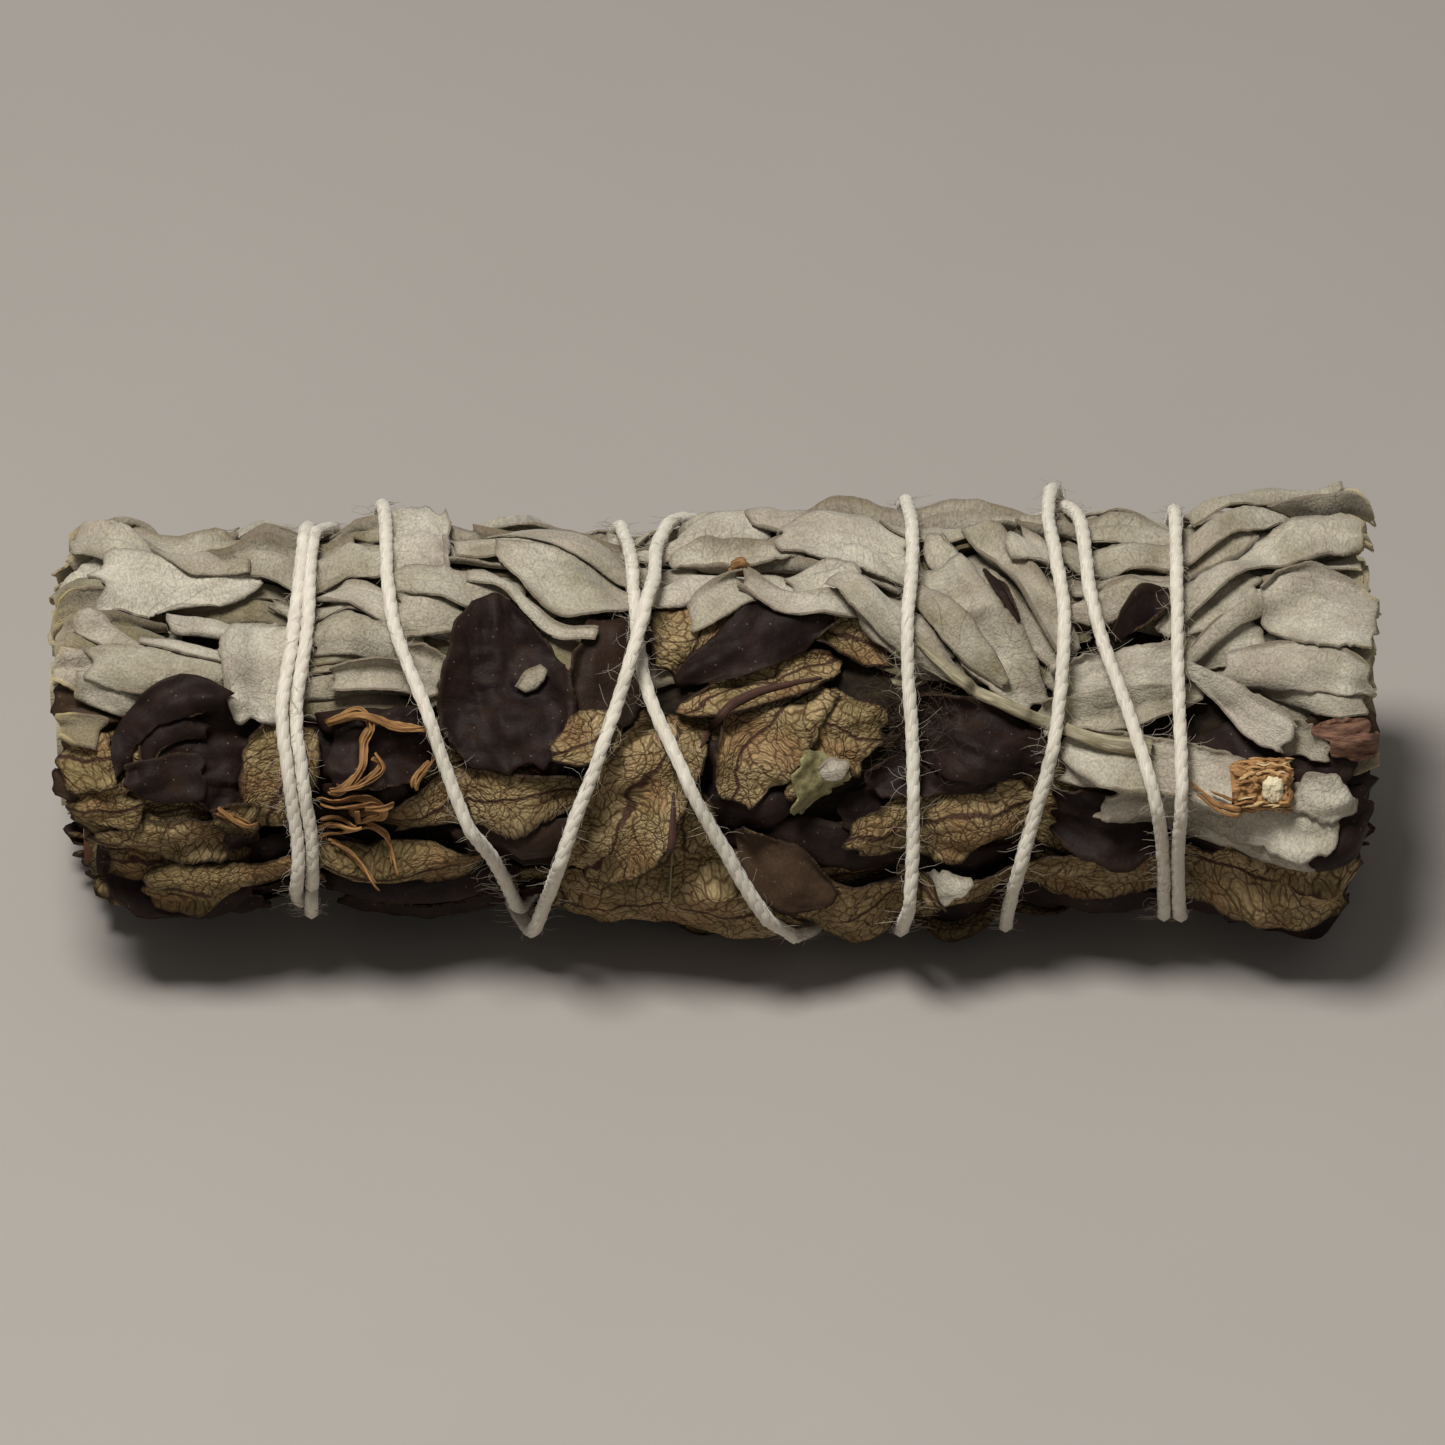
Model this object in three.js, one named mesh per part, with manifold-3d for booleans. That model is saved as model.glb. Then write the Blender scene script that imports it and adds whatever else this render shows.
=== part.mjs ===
// A bunch of dried white sage, rolled together with dark net-veined leaves along one side and
// bound with one length of cotton string. Millimetres, +Z up.
// The bunch lies along X, with its stems' thick ends at -X. The origin is on the flat spot that it
// rests on, under the middle of the bunch.
// A place on the bunch is [x, around]: around is in degrees about the bunch's own axis. It is 0 on
// the side that faces out, 90 over the top, -90 underneath and 180 behind.
import * as THREE from "three";
import { mergeVertices } from "three/addons/utils/BufferGeometryUtils.js";
import Module from "manifold-3d";

const wasm = await Module();
wasm.setup();

// Driving dimensions.
const axisHeight = 16.9;
const faceTilt = 40; // how far above -Y the side at 0 degrees points
const radius = { butt: 14.2, middle: 16.3 }; // over the leaves, at the butts and from the middle on
const cutEnd = { left: -52, right: 52 };
const coreEnd = 46.5; // the packed inside stops short of the cut leaves
const leafLayers = 2.7; // depth of the loose outer leaves over the packed inside
const bladeThickness = 0.85;
const sunkDepth = 2.3; // how deep a leaf is pressed into what it lies on
const clearance = 0.32; // between two pieces that touch
const stringDiameter = 1.2;
const cinch = { depth: 0.9, reach: 2.4 }; // how far the string pulls the leaves in
const millimetresPerDegree = (Math.PI / 180) * 15.5;

const materials = {
  sage: new THREE.MeshStandardMaterial({ color: "#b3ac9c", roughness: 0.9, metalness: 0 }),
  dark: new THREE.MeshStandardMaterial({ color: "#54432f", roughness: 0.7, metalness: 0 }),
  sageStem: new THREE.MeshStandardMaterial({ color: "#a2977b", roughness: 0.85, metalness: 0 }),
  darkStem: new THREE.MeshStandardMaterial({ color: "#6d4630", roughness: 0.8, metalness: 0 }),
  wood: new THREE.MeshStandardMaterial({ color: "#a5703c", roughness: 0.9, metalness: 0 }),
  string: new THREE.MeshStandardMaterial({ color: "#ded8cb", roughness: 1, metalness: 0 }),
};

// Leaves on the facing side, in the order in which they lie. Each has the line of its midrib, its
// full width at each point of that line, and roll: 0 is flat and 1 is rolled to half a tube.
const sageLeaves = [
  { spine: [[-49.8, 19], [-45.4, 21], [-38.7, 13]], width: [2.6, 2.6, 3.8], roll: 0.7 },
  { spine: [[-50.1, 13], [-45, 9], [-41, 6]], width: [2.8, 3.4, 2.2], roll: 0.5 },
  { spine: [[-43.8, 28], [-38, 20]], width: [2.4, 4.2], roll: 0.8 },
  { spine: [[-49.7, 32], [-45.4, 24], [-42, 20]], width: [2.4, 2, 2.6], roll: 1 },
  { spine: [[-40.7, 52], [-32.8, 62], [-28, 66]], width: [3, 3.4, 2.4], roll: 0.7 },
  { spine: [[-48.2, 46], [-41.5, 48], [-35.2, 56]], width: [3.8, 4.8, 2.8], roll: 0.3 },
  { spine: [[-31.2, 51], [-25.7, 42], [-20.2, 31]], width: [3.6, 4, 2.4], roll: 0.3 },
  { spine: [[-30.5, 18], [-25, 17], [-21, 8]], width: [2.6, 3, 2], roll: 0.9 },
  { spine: [[-24.6, 22], [-20, 16]], width: [6, 4.5], roll: 0.2 },
  { spine: [[-25, 37], [-19.8, 37]], width: [5, 4], roll: 0.3 },
  { spine: [[-38.8, 16], [-33.6, 21], [-28, 32], [-23, 30]], width: [7, 9.4, 5, 3], roll: 0.1, across: 4 },
  { spine: [[-20.6, 62], [-12.4, 66], [-1.3, 67]], width: [3.2, 4.4, 3.4], roll: 0.8 },
  { spine: [[-23.5, 82], [-23, 47]], width: [6, 6], roll: 0.1 },
  { spine: [[-19, 41], [-13.9, 33], [-8.8, 20]], width: [2.8, 3.2, 1.6], roll: 0.6 },
  { spine: [[-17.1, 52], [-11.6, 43], [-5.5, 42]], width: [2.4, 6.4, 4.4], roll: 0.1 },
  { spine: [[-6.1, 47], [0.2, 49], [6.5, 48]], width: [5, 5.6, 3], roll: 0.3 },
  { spine: [[-2.1, 34], [2.6, 42]], width: [3.4, 4], roll: 0.3 },
  { spine: [[6.1, 48], [11.3, 52]], width: [3.4, 4.4], roll: 0.2 },
  { spine: [[5, 66], [10.5, 68], [15.5, 68]], width: [4, 6, 6], roll: 0.2 },
  { spine: [[25.4, 0], [31.7, 3], [38, 9]], width: [4.4, 4.6, 2.6], roll: 0.4 },
  { spine: [[27.8, 37], [34.9, 42], [41.2, 47]], width: [3, 3.4, 2.6], roll: 0.7 },
  { spine: [[28.2, 47], [36.4, 54], [42.7, 66]], width: [3, 3.4, 2.8], roll: 0.7 },
  { spine: [[27, 60], [37.2, 65], [45.9, 74]], width: [3.2, 3.6, 3.2], roll: 0.6 },
  { spine: [[26.2, 13], [32.5, 18], [41.2, 26]], width: [5, 5.6, 2.6], roll: 0.3 },
  { spine: [[22.3, 17], [27, 6]], width: [4, 5], roll: 0.3 },
  { spine: [[20.3, 76], [25.4, 45], [27.8, 24]], width: [3.2, 3.6, 2.8], roll: 0.6 },
  { spine: [[17.2, 72], [22.3, 45], [26.5, 24]], width: [3.2, 3.4, 2.6], roll: 0.6 },
  { spine: [[11.3, 47], [14.4, 33], [17.8, 20]], width: [3.6, 4.6, 3], roll: 0.3 },
  { spine: [[16.7, 61], [17.9, 38], [21.1, 20], [23.9, 4]], width: [4.4, 5, 5.4, 2.6], roll: 0.2 },
  { spine: [[39.6, 14], [45.9, 13], [51.4, 9]], width: [3, 4.4, 3], roll: 0.5 },
  { spine: [[35.7, 30], [42, 33]], width: [5, 6], roll: 0.2 },
  { spine: [[34.9, 31], [40.4, 47], [46.7, 60], [51.4, 61]], width: [1.8, 3.6, 3.8, 3], roll: 0.5 },
  { spine: [[37.2, 72], [45.1, 84], [49.6, 88]], width: [2.8, 3.8, 3.4], roll: 0.8 },
  { spine: [[42.7, 33], [47.5, 31], [51.8, 30]], width: [5.4, 7.2, 6.8], roll: 0.1 },
];

// A slim leaf stalk that curves down across both kinds of leaf.
const slimStalk = {
  spine: [[14, 33], [16.5, 22], [19.1, 12], [24.6, 0.5], [30.1, -8], [34, -11]],
  width: [2.6, 2, 1.6, 1.6, 1.6, 2],
  roll: 1,
};

// Sage leaves that lie over the dark ones, at the right.
const overlyingLeaves = [
  { spine: [[24, -3], [28, -8], [33, -13]], width: [2.2, 3, 3], roll: 0.7 },
  { spine: [[27.5, -14], [34.1, -14], [41, -19]], width: [3.4, 4.8, 5], roll: 0.5 },
  { spine: [[30.1, -30], [38, -33], [49.4, -30]], width: [3, 5, 3.4], roll: 0.2 },
  { spine: [[36.8, 13], [42.7, 2], [47.9, -8]], width: [2, 3.8, 4.2], roll: 0.5 },
  slimStalk,
];

const darkLeaves = [
  { spine: [[-12.4, -69], [6.5, -80], [22.3, -72]], width: [5, 7, 6], roll: 0.4 },
  { spine: [[18, -66], [38, -62], [49.4, -60]], width: [5, 6, 5.4], roll: 0.4 },
  { spine: [[26.2, -35], [34.1, -41], [40, -44]], width: [7, 6, 4], roll: 0.1 },
  { spine: [[45, -34], [51.4, -33]], width: [6.6, 7], roll: 0.1 },
  { spine: [[36, -20], [44, -12], [51, -10]], width: [5, 7, 5.4], roll: 0.1 },
  { spine: [[37.2, -54], [49.4, -51]], width: [4.4, 5.6], roll: 0.2 },
  { spine: [[14.4, 4], [20.7, -7], [26.2, -15]], width: [6, 7, 5], roll: 0.2 },
  { spine: [[10.5, -41], [17.6, -35], [24.6, -31]], width: [4, 7.6, 5.4], roll: 0.1 },
  { spine: [[-45.4, -57], [-39.1, -57], [-32.8, -55]], width: [3.6, 4, 3.6], roll: 0.8 },
  { spine: [[-49, -36], [-43.8, -36], [-37.5, -36]], width: [4, 5.4, 4.4], roll: 0.2 },
  { spine: [[-47, 2], [-42.3, 2], [-37.5, 6]], width: [2, 3.4, 3], roll: 0.6 },
  { spine: [[-33.6, 4], [-34.4, -16], [-35.6, -38]], width: [6, 7.4, 5], roll: 0.2 },
  { spine: [[-44.6, -8], [-39.1, -8], [-33.4, -14]], width: [6.4, 9, 6.4], roll: 0.3, across: 4 },
  { spine: [[-32, -52], [-25, -55], [-18.7, -57]], width: [3.6, 4, 3.6], roll: 0.8 },
  { spine: [[-31, -28], [-25, -18]], width: [6, 6], roll: 0.1 },
  { spine: [[-31, -7], [-21.8, -5]], width: [7.4, 7], roll: 0.2 },
  { spine: [[-20.2, -41], [-9.2, -41]], width: [5, 6], roll: 0.2 },
  { spine: [[-27, -37], [-18.7, -26], [-9.5, -21]], width: [4, 6, 4], roll: 0.2 },
  { spine: [[-17.9, 33], [-16.3, 9], [-13.9, -12]], width: [5.5, 12, 10], roll: 0.1, across: 4 },
  { spine: [[-7.6, 33], [-9.2, 8], [-10, -10]], width: [4.4, 6.6, 5], roll: 0.3 },
  { spine: [[-1.3, 40], [-2.1, 27], [-4.5, 14]], width: [4.6, 6, 3.6], roll: 0.2 },
  { spine: [[-12.4, -64], [-2.9, -56], [6.5, -60]], width: [5, 7.6, 5.6], roll: 0.1 },
  { spine: [[6.5, 4], [12.8, -7]], width: [6.4, 6.6], roll: 0.3 },
  { spine: [[-12.4, -50], [-6.1, -26], [1.8, -6], [10, 16]], width: [5, 11, 13, 4], roll: 0.1, across: 4 },
  { spine: [[-6.1, 7], [1.8, 20], [9.3, 33]], width: [3.4, 4.4, 3], roll: 0.9 },
  { spine: [[8.9, 30], [14, 20]], width: [3, 3.6], roll: 0.3 },
];

// The leaf that bulges between two strands underneath, and carries the bunch.
const restingLeaf = {
  spine: [[-10.6, -131], [-2, -130], [6.8, -129]],
  width: [11, 13, 11],
  roll: 0.1,
  lift: 2.2,
  across: 4,
};

// The upper edge of the dark leaves' own packed layer, as around at each x. Its lower edge is darkFoot.
const darkEdge = [
  [-56, 2], [-38, 6], [-22, 8], [-17, 26], [-8, 30], [6, 26], [14, 12], [24, -8], [30, -24], [56, -14],
];
const darkFoot = -168;
const darkInnerRadius = 5;

// The string's strands, in the order in which it is wound, each from the top edge over the facing
// side to the bottom edge or on underneath. Behind, it runs straight from one to the next.
const stringStrands = [
  [[-32.4, 80], [-33.4, 33], [-34.3, 6], [-33.8, -19], [-33.3, -42], [-33.6, -78]],
  [[-26.2, 84], [-25.3, 33], [-22.6, 3], [-20.2, -25], [-17.9, -46], [-16.1, -82]],
  [[-7.1, 84], [-6.1, 29], [-5.3, 9], [-2.1, -19], [1.4, -46], [6.2, -84]],
  [[15.5, 84], [15, 20], [15.3, -8], [15.2, -42], [14.4, -82], [14.2, -158]],
  [[28.3, 84], [29.7, 36], [32.5, -2], [34.3, -25], [35, -54], [35.1, -78]],
  [[36.4, 84], [36.2, 17], [36.4, -19], [36.7, -42], [37, -78], [37.4, -160]],
  [[26.6, 84], [27.4, 33], [26.4, -8], [25, -31], [23.5, -54], [22.7, -82], [21.4, -158]],
  [[-3.5, 84], [-4.9, 43], [-6.5, 20], [-9.2, -8], [-12.4, -38], [-14.4, -80]],
  [[-30.7, 80], [-31.7, 33], [-32.6, 6], [-32.1, -19], [-31.6, -42], [-31.9, -78]],
];
const knot = { x: -33.2, around: 146, radius: 1.7, flat: 0.75 };
const stringTails = { first: [[-38.6, 170], [-36.6, 158]], last: [[-31, 134], [-28.4, 122]] };

// Each sprig of the bunch: where its stem runs, and which kind it is.
const sprigs = [
  { kind: "sage", around: 0, out: 0 },
  { kind: "sage", around: 22, out: 9.4 },
  { kind: "sage", around: 64, out: 9.6 },
  { kind: "sage", around: 108, out: 9.2 },
  { kind: "sage", around: 152, out: 9.6 },
  { kind: "sage", around: -158, out: 9.0 },
  { kind: "dark", around: -116, out: 9.4 },
  { kind: "dark", around: -72, out: 9.0 },
  { kind: "dark", around: -26, out: 9.4 },
];
const stemSize = {
  sage: { butt: 1.75, tip: 1.15 },
  dark: { butt: 1.3, tip: 0.95 },
};

// A broken piece of woody stem that lies among the leaves at the right.
const stub = { x: [37.7, 45.4], around: -20, radius: 1.75 };

function seeded(seed) {
  let state = seed;
  return () => {
    state = (state * 16807) % 2147483647;
    return state / 2147483647;
  };
}

const bunchRadius = (x) =>
  THREE.MathUtils.lerp(radius.butt, radius.middle, THREE.MathUtils.smoothstep(x, -58, -4));
const coreRadius = (x) => bunchRadius(x) - leafLayers;

function place(x, around, out) {
  const turn = THREE.MathUtils.degToRad(around + faceTilt);
  return new THREE.Vector3(x, -out * Math.cos(turn), axisHeight + out * Math.sin(turn));
}

// The cut ends slope back a little under the facing side.
function endAt(side, around) {
  const under = Math.max(0, Math.cos(THREE.MathUtils.degToRad(around + 75)));
  return cutEnd[side] - Math.sign(cutEnd[side]) * (side === "left" ? 4.5 : 2) * under ** 3;
}

// Solids from rings and grids of points.

// A closed surface through rings of points, each ring with the same number of them. The end caps
// join the first half of a ring to its second half.
function loft(rings) {
  const n = rings[0].length;
  const index = [];
  for (let i = 0; i + 1 < rings.length; i++) {
    for (let k = 0; k < n; k++) {
      const a = i * n + k;
      const b = i * n + ((k + 1) % n);
      index.push(a, b, a + n, b, b + n, a + n);
    }
  }
  const last = (rings.length - 1) * n;
  for (let k = 0; k < n / 2 - 1; k++) {
    const m = n - 1 - k;
    index.push(k, m, k + 1, k + 1, m, m - 1);
    index.push(last + k, last + k + 1, last + m, last + k + 1, last + m - 1, last + m);
  }
  const positions = rings.flat().flatMap((p) => [p.x, p.y, p.z]);
  const geometry = new THREE.BufferGeometry();
  geometry.setAttribute("position", new THREE.Float32BufferAttribute(positions, 3));
  geometry.setIndex(index);
  return geometry;
}

function solidOf(geometry) {
  const bare = geometry.clone();
  bare.deleteAttribute("normal");
  bare.deleteAttribute("uv");
  const merged = mergeVertices(bare, 1e-4);
  const triVerts = new Uint32Array(merged.index.array);
  const vertProperties = merged.attributes.position.array;
  const solid = new wasm.Manifold(new wasm.Mesh({ numProp: 3, vertProperties, triVerts }));
  if (solid.volume() > 0) return solid;
  for (let i = 0; i < triVerts.length; i += 3) {
    [triVerts[i + 1], triVerts[i + 2]] = [triVerts[i + 2], triVerts[i + 1]];
  }
  return new wasm.Manifold(new wasm.Mesh({ numProp: 3, vertProperties, triVerts }));
}

const joined = (solids) => wasm.Manifold.union(solids);

function largestBody(solid) {
  const bodies = solid.decompose();
  return bodies.reduce((most, body) => (body.volume() > most.volume() ? body : most));
}

function meshOf(name, solid, material) {
  const data = solid.getMesh();
  const positions = [];
  for (let i = 0; i < data.numVert; i++) {
    positions.push(...data.vertProperties.subarray(i * data.numProp, i * data.numProp + 3));
  }
  const geometry = new THREE.BufferGeometry();
  geometry.setAttribute("position", new THREE.Float32BufferAttribute(positions, 3));
  geometry.setIndex([...data.triVerts]);
  geometry.computeVertexNormals();
  const mesh = new THREE.Mesh(geometry, material);
  mesh.name = name;
  return mesh;
}

// The string's line.

const turned = (points, turns) => points.map(([x, around]) => [x, around - 360 * turns]);
const stringRoute = [
  ...stringTails.first,
  [knot.x - 0.5, knot.around],
  ...stringStrands.flatMap((strand, turn) => turned(strand, turn)),
  ...turned([[knot.x + 0.5, knot.around], ...stringTails.last], stringStrands.length),
];
const stringLine = new THREE.CatmullRomCurve3(
  stringRoute.map(([x, around]) => new THREE.Vector3(around * millimetresPerDegree, x, 0)),
  false,
  "centripetal",
);
const stringStep = 3; // degrees between the points of the string's table
const stringStart = stringRoute[0][1];
const stringStop = stringRoute.at(-1)[1];
const stringX = tableOfStringX();

function tableOfStringX() {
  const points = stringLine.getPoints(stringRoute.length * 24);
  const table = [];
  let at = 0;
  for (let around = stringStart; around >= stringStop; around -= stringStep) {
    const arc = around * millimetresPerDegree;
    while (at + 2 < points.length && points[at + 1].x > arc) at += 1;
    const share = (points[at].x - arc) / (points[at].x - points[at + 1].x);
    table.push(THREE.MathUtils.lerp(points[at].y, points[at + 1].y, share));
  }
  return table;
}

// Distance along X from a place to the nearest strand of the string.
function distanceToString(x, around) {
  let nearest = Infinity;
  const first = stringStart - THREE.MathUtils.euclideanModulo(stringStart - around, 360);
  for (let turn = first; turn >= stringStop; turn -= 360) {
    const k = Math.round((stringStart - turn) / stringStep);
    if (k < stringX.length) nearest = Math.min(nearest, Math.abs(x - stringX[k]));
  }
  return nearest;
}

const pulledIn = (x, around) =>
  cinch.depth * Math.exp(-((distanceToString(x, around) / cinch.reach) ** 2));

// Leaves, laid one over another.

// How high the leaves are heaped over the packed inside, on a grid of 1 mm by 4 degrees.
const heap = { rows: 116, columns: 90, height: new Float32Array(116 * 90) };
const heapCell = (x, arc) => {
  const row = THREE.MathUtils.clamp(Math.round(x + heap.rows / 2), 1, heap.rows - 2);
  const around = arc / millimetresPerDegree;
  const column = THREE.MathUtils.euclideanModulo(Math.round(around / 4), heap.columns);
  return [row, column];
};

function heapUnder(x, arc) {
  const [row, column] = heapCell(x, arc);
  let height = 0;
  for (let i = -1; i <= 1; i++) {
    for (let j = -1; j <= 1; j++) {
      const k = (column + j + heap.columns) % heap.columns;
      height = Math.max(height, heap.height[(row + i) * heap.columns + k]);
    }
  }
  return height;
}

// The bunch is pressed: each leaf adds less height than the one before it.
const mostHeap = 3.5;
const pressed = (height) => mostHeap * (1 - Math.exp(-height / mostHeap));

// Lays one leaf on the heap. Returns its points, each with its place, its height and the way in
// which its outline grows.
function layLeaf({ spine, width, roll, lift = 0, across = 2 }, random) {
  const line = new THREE.CatmullRomCurve3(
    spine.map(([x, around], i) => new THREE.Vector3(x, around * millimetresPerDegree, width[i])),
    false,
    "centripetal",
  );
  const along = THREE.MathUtils.clamp(Math.round(line.getLength() / 8), 2, 4);
  const grid = [];
  for (let i = 0; i <= along; i++) {
    const p = line.getPoint(i / along);
    const forward = line.getTangent(i / along).setZ(0).normalize();
    const end = i === 0 ? -1 : i === along ? 1 : 0;
    grid.push([]);
    for (let j = 0; j <= across; j++) {
      const v = (2 * j) / across - 1;
      const torn = end * 0.9 * random() - Math.abs(v) * end * 0.25 * p.z;
      const waved = Math.abs(v) === 1 ? 0.5 * (random() - 0.5) : 0;
      const side = v * (p.z / 2 + waved);
      grid[i].push({
        x: p.x - forward.y * side + forward.x * torn,
        arc: p.y + forward.x * side + forward.y * torn,
        grow: [forward.x * end - forward.y * v, forward.y * end + forward.x * v],
        crown: bladeThickness + roll * 0.24 * p.z * Math.sqrt(1 - v * v * 0.96),
        lift,
      });
    }
  }
  for (const point of grid.flat()) point.support = heapUnder(point.x, point.arc);
  const mean = grid.flat().reduce((sum, p) => sum + p.support, 0) / grid.flat().length;
  for (const point of grid.flat()) {
    point.height = Math.max(point.support, 0.6 * point.support + 0.4 * mean) + point.crown;
  }
  raiseHeap(grid);
  return grid;
}

function raiseHeap(grid) {
  const fine = 4;
  for (let i = 0; i + 1 < grid.length; i++) {
    for (let j = 0; j + 1 < grid[i].length; j++) {
      const corners = [grid[i][j], grid[i][j + 1], grid[i + 1][j], grid[i + 1][j + 1]];
      for (let s = 0; s <= fine; s++) {
        for (let t = 0; t <= fine; t++) {
          const mix = (key) =>
            THREE.MathUtils.lerp(
              THREE.MathUtils.lerp(corners[0][key], corners[1][key], t / fine),
              THREE.MathUtils.lerp(corners[2][key], corners[3][key], t / fine),
              s / fine,
            );
          const [row, column] = heapCell(mix("x"), mix("arc"));
          const cell = row * heap.columns + column;
          heap.height[cell] = Math.max(heap.height[cell], mix("height"));
        }
      }
    }
  }
}

// The solid of a laid leaf, grown by a margin all round. A leaf is sunk into what it lies on, and
// past the packed inside it is a plain blade.
function leafSolid(grid, margin = 0, depth = sunkDepth) {
  const rings = grid.map((row) => {
    const surface = (point, side) => {
      const x = point.x + margin * point.grow[0];
      const around = (point.arc + margin * point.grow[1]) / millimetresPerDegree;
      const top = coreRadius(x) + pressed(point.height) + point.lift - pulledIn(x, around);
      const loose = Math.abs(x) > coreEnd - 1;
      const thick = loose ? bladeThickness : depth + point.lift;
      return place(x, around, side > 0 ? top + margin : top - thick - margin);
    };
    return [...row.map((p) => surface(p, 1)), ...row.toReversed().map((p) => surface(p, -1))];
  });
  return solidOf(loft(rings));
}

// Leaves with no place of their own: they lie nearly along the bunch, drawn from a seed.
function scatteredLeaves({ count, seed, low, high, width, roll, skip }) {
  const random = seeded(seed);
  const leaves = [];
  for (let k = 0; k < count; k++) {
    const around = low + (high - low) * ((k + 0.7 * random()) / count);
    const long = 26 + 16 * random();
    const lane = (k * 0.382 + 0.25 * random()) % 1;
    const middle = -52 + long / 2 + lane * (104 - long);
    const slant = 22 * (random() - 0.5);
    const start = Math.max(middle - long / 2, endAt("left", around) + random());
    const stop = Math.min(middle + long / 2, endAt("right", around) - random());
    const wide = width[0] + (width[1] - width[0]) * random();
    const bend = 8 * (random() - 0.5);
    const leaf = {
      spine: [[start, around - slant / 2], [(start + stop) / 2, around + bend], [stop, around + slant / 2]],
      width: [wide * 0.62, wide, wide * 0.5],
      roll: roll[0] + (roll[1] - roll[0]) * random(),
    };
    if (!skip || !skip((start + stop) / 2, around)) leaves.push(leaf);
  }
  return leaves;
}

function darkEdgeAt(x) {
  const k = darkEdge.findIndex(([to]) => to > x);
  const [x0, a0] = darkEdge[k - 1];
  const [x1, a1] = darkEdge[k];
  return THREE.MathUtils.lerp(a0, a1, (x - x0) / (x1 - x0));
}
const isDark = (x, around) => around < darkEdgeAt(x) && around > darkFoot;
const isSage = (x, around) => !isDark(x, around);

const layAll = (leaves, seed) => {
  const random = seeded(seed);
  return leaves.map((leaf) => layLeaf(leaf, random));
};

const underSage = layAll(
  scatteredLeaves({
    count: 13, seed: 11, low: -4, high: 190, width: [9, 12], roll: [0, 0.2], skip: isDark,
  }),
  101,
);
const underDark = layAll(
  scatteredLeaves({
    count: 6, seed: 23, low: -164, high: 4, width: [10, 13], roll: [0, 0.2], skip: isSage,
  }),
  102,
);
const behindSage = layAll(
  scatteredLeaves({ count: 12, seed: 37, low: 84, high: 186, width: [5, 8], roll: [0.2, 0.8] }),
  103,
);
const behindDark = layAll(
  scatteredLeaves({ count: 6, seed: 41, low: -160, high: -84, width: [5, 6.7], roll: [0.3, 0.8] }),
  104,
);
const resting = layAll([restingLeaf], 108);
const facingSage = layAll(sageLeaves, 105);
const facingDark = layAll(darkLeaves, 106);
const overlying = layAll(overlyingLeaves, 107);

// The packed inside.

function coreRing(x, out, sides = 20) {
  return Array.from({ length: sides }, (_, k) => place(x, (360 * k) / sides, out));
}

// The dark leaves' share of the packed inside: a sector of the bunch's cross-section.
function darkSector(margin) {
  const stations = [-coreEnd - margin, -38, -30, -22, -17, -8, 0, 6, 14, 24, 30, 40, coreEnd + margin];
  const steps = 9;
  const rings = stations.map((x) => {
    const high = darkEdgeAt(x);
    const outer = [];
    const inner = [];
    for (let k = 0; k <= steps; k++) {
      const share = k / steps;
      const around = darkFoot + (high - darkFoot) * share;
      const spread = (out) => (share * 2 - 1) * THREE.MathUtils.radToDeg(margin / out);
      outer.push(place(x, around + spread(15), coreRadius(x) + margin));
      inner.push(place(x, around + spread(5), darkInnerRadius - margin));
    }
    return [...outer, ...inner.toReversed()];
  });
  return solidOf(loft(rings));
}

const wholeCore = solidOf(
  loft([-coreEnd, -36, -24, -12, 0, 12, 24, 36, coreEnd].map((x) => coreRing(x, coreRadius(x)))),
);
const darkCore = darkSector(0);
const sageCore = wholeCore.subtract(darkSector(clearance));

// Sprigs: stems, and the leaves rolled round them at the cut ends.

const stemCentre = ({ around, out }, x = 0) => {
  const sway = Math.sin(x / 17 + around);
  const offAxis = Math.sign(out);
  return place(x, around + 5 * sway * offAxis, out + 0.5 * Math.cos(x / 13 + around) * offAxis);
};

function stemSolid(sprig, margin = 0) {
  const { butt, tip } = stemSize[sprig.kind];
  const random = seeded(71 + Math.round(sprig.out * 10) + sprig.around);
  const from = endAt("left", sprig.around) - 0.4 + 1.2 * random() - margin * 3;
  const to = endAt("right", sprig.around) - 0.3 - 1.4 * random() + margin * 3;
  const flats = margin ? 1 / Math.cos(Math.PI / 8) : 1; // a hole's flats clear the stem's corners
  const rings = Array.from({ length: 7 }, (_, i) => {
    const x = from + ((to - from) * i) / 6;
    const size = THREE.MathUtils.lerp(butt, tip, i / 6) + margin;
    const centre = stemCentre(sprig, x);
    return Array.from({ length: 8 }, (_, k) => {
      const turn = (2 * Math.PI * (k + 0.5)) / 8;
      const squared = 1 + 0.09 * Math.cos(4 * turn + Math.PI);
      const spoke = new THREE.Vector3(0, Math.cos(turn), Math.sin(turn));
      return centre.clone().addScaledVector(spoke, size * squared * flats);
    });
  });
  return solidOf(loft(rings));
}

// How far a sprig's leaves reach from its stem, before they meet its neighbours or the outside.
function sprigReach(sprig, spoke, x) {
  const centre = stemCentre(sprig, x);
  let reach = Infinity;
  for (const other of sprigs) {
    if (other === sprig) continue;
    const apart = stemCentre(other, x).sub(centre);
    const towards = apart.dot(spoke);
    if (towards > 0) reach = Math.min(reach, apart.lengthSq() / (2 * towards));
  }
  const off = centre.clone().sub(place(x, 0, 0));
  const inner = coreRadius(x) - 0.6;
  const b = off.dot(spoke);
  return Math.min(reach, -b + Math.sqrt(b * b + inner * inner - off.lengthSq()));
}

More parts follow.
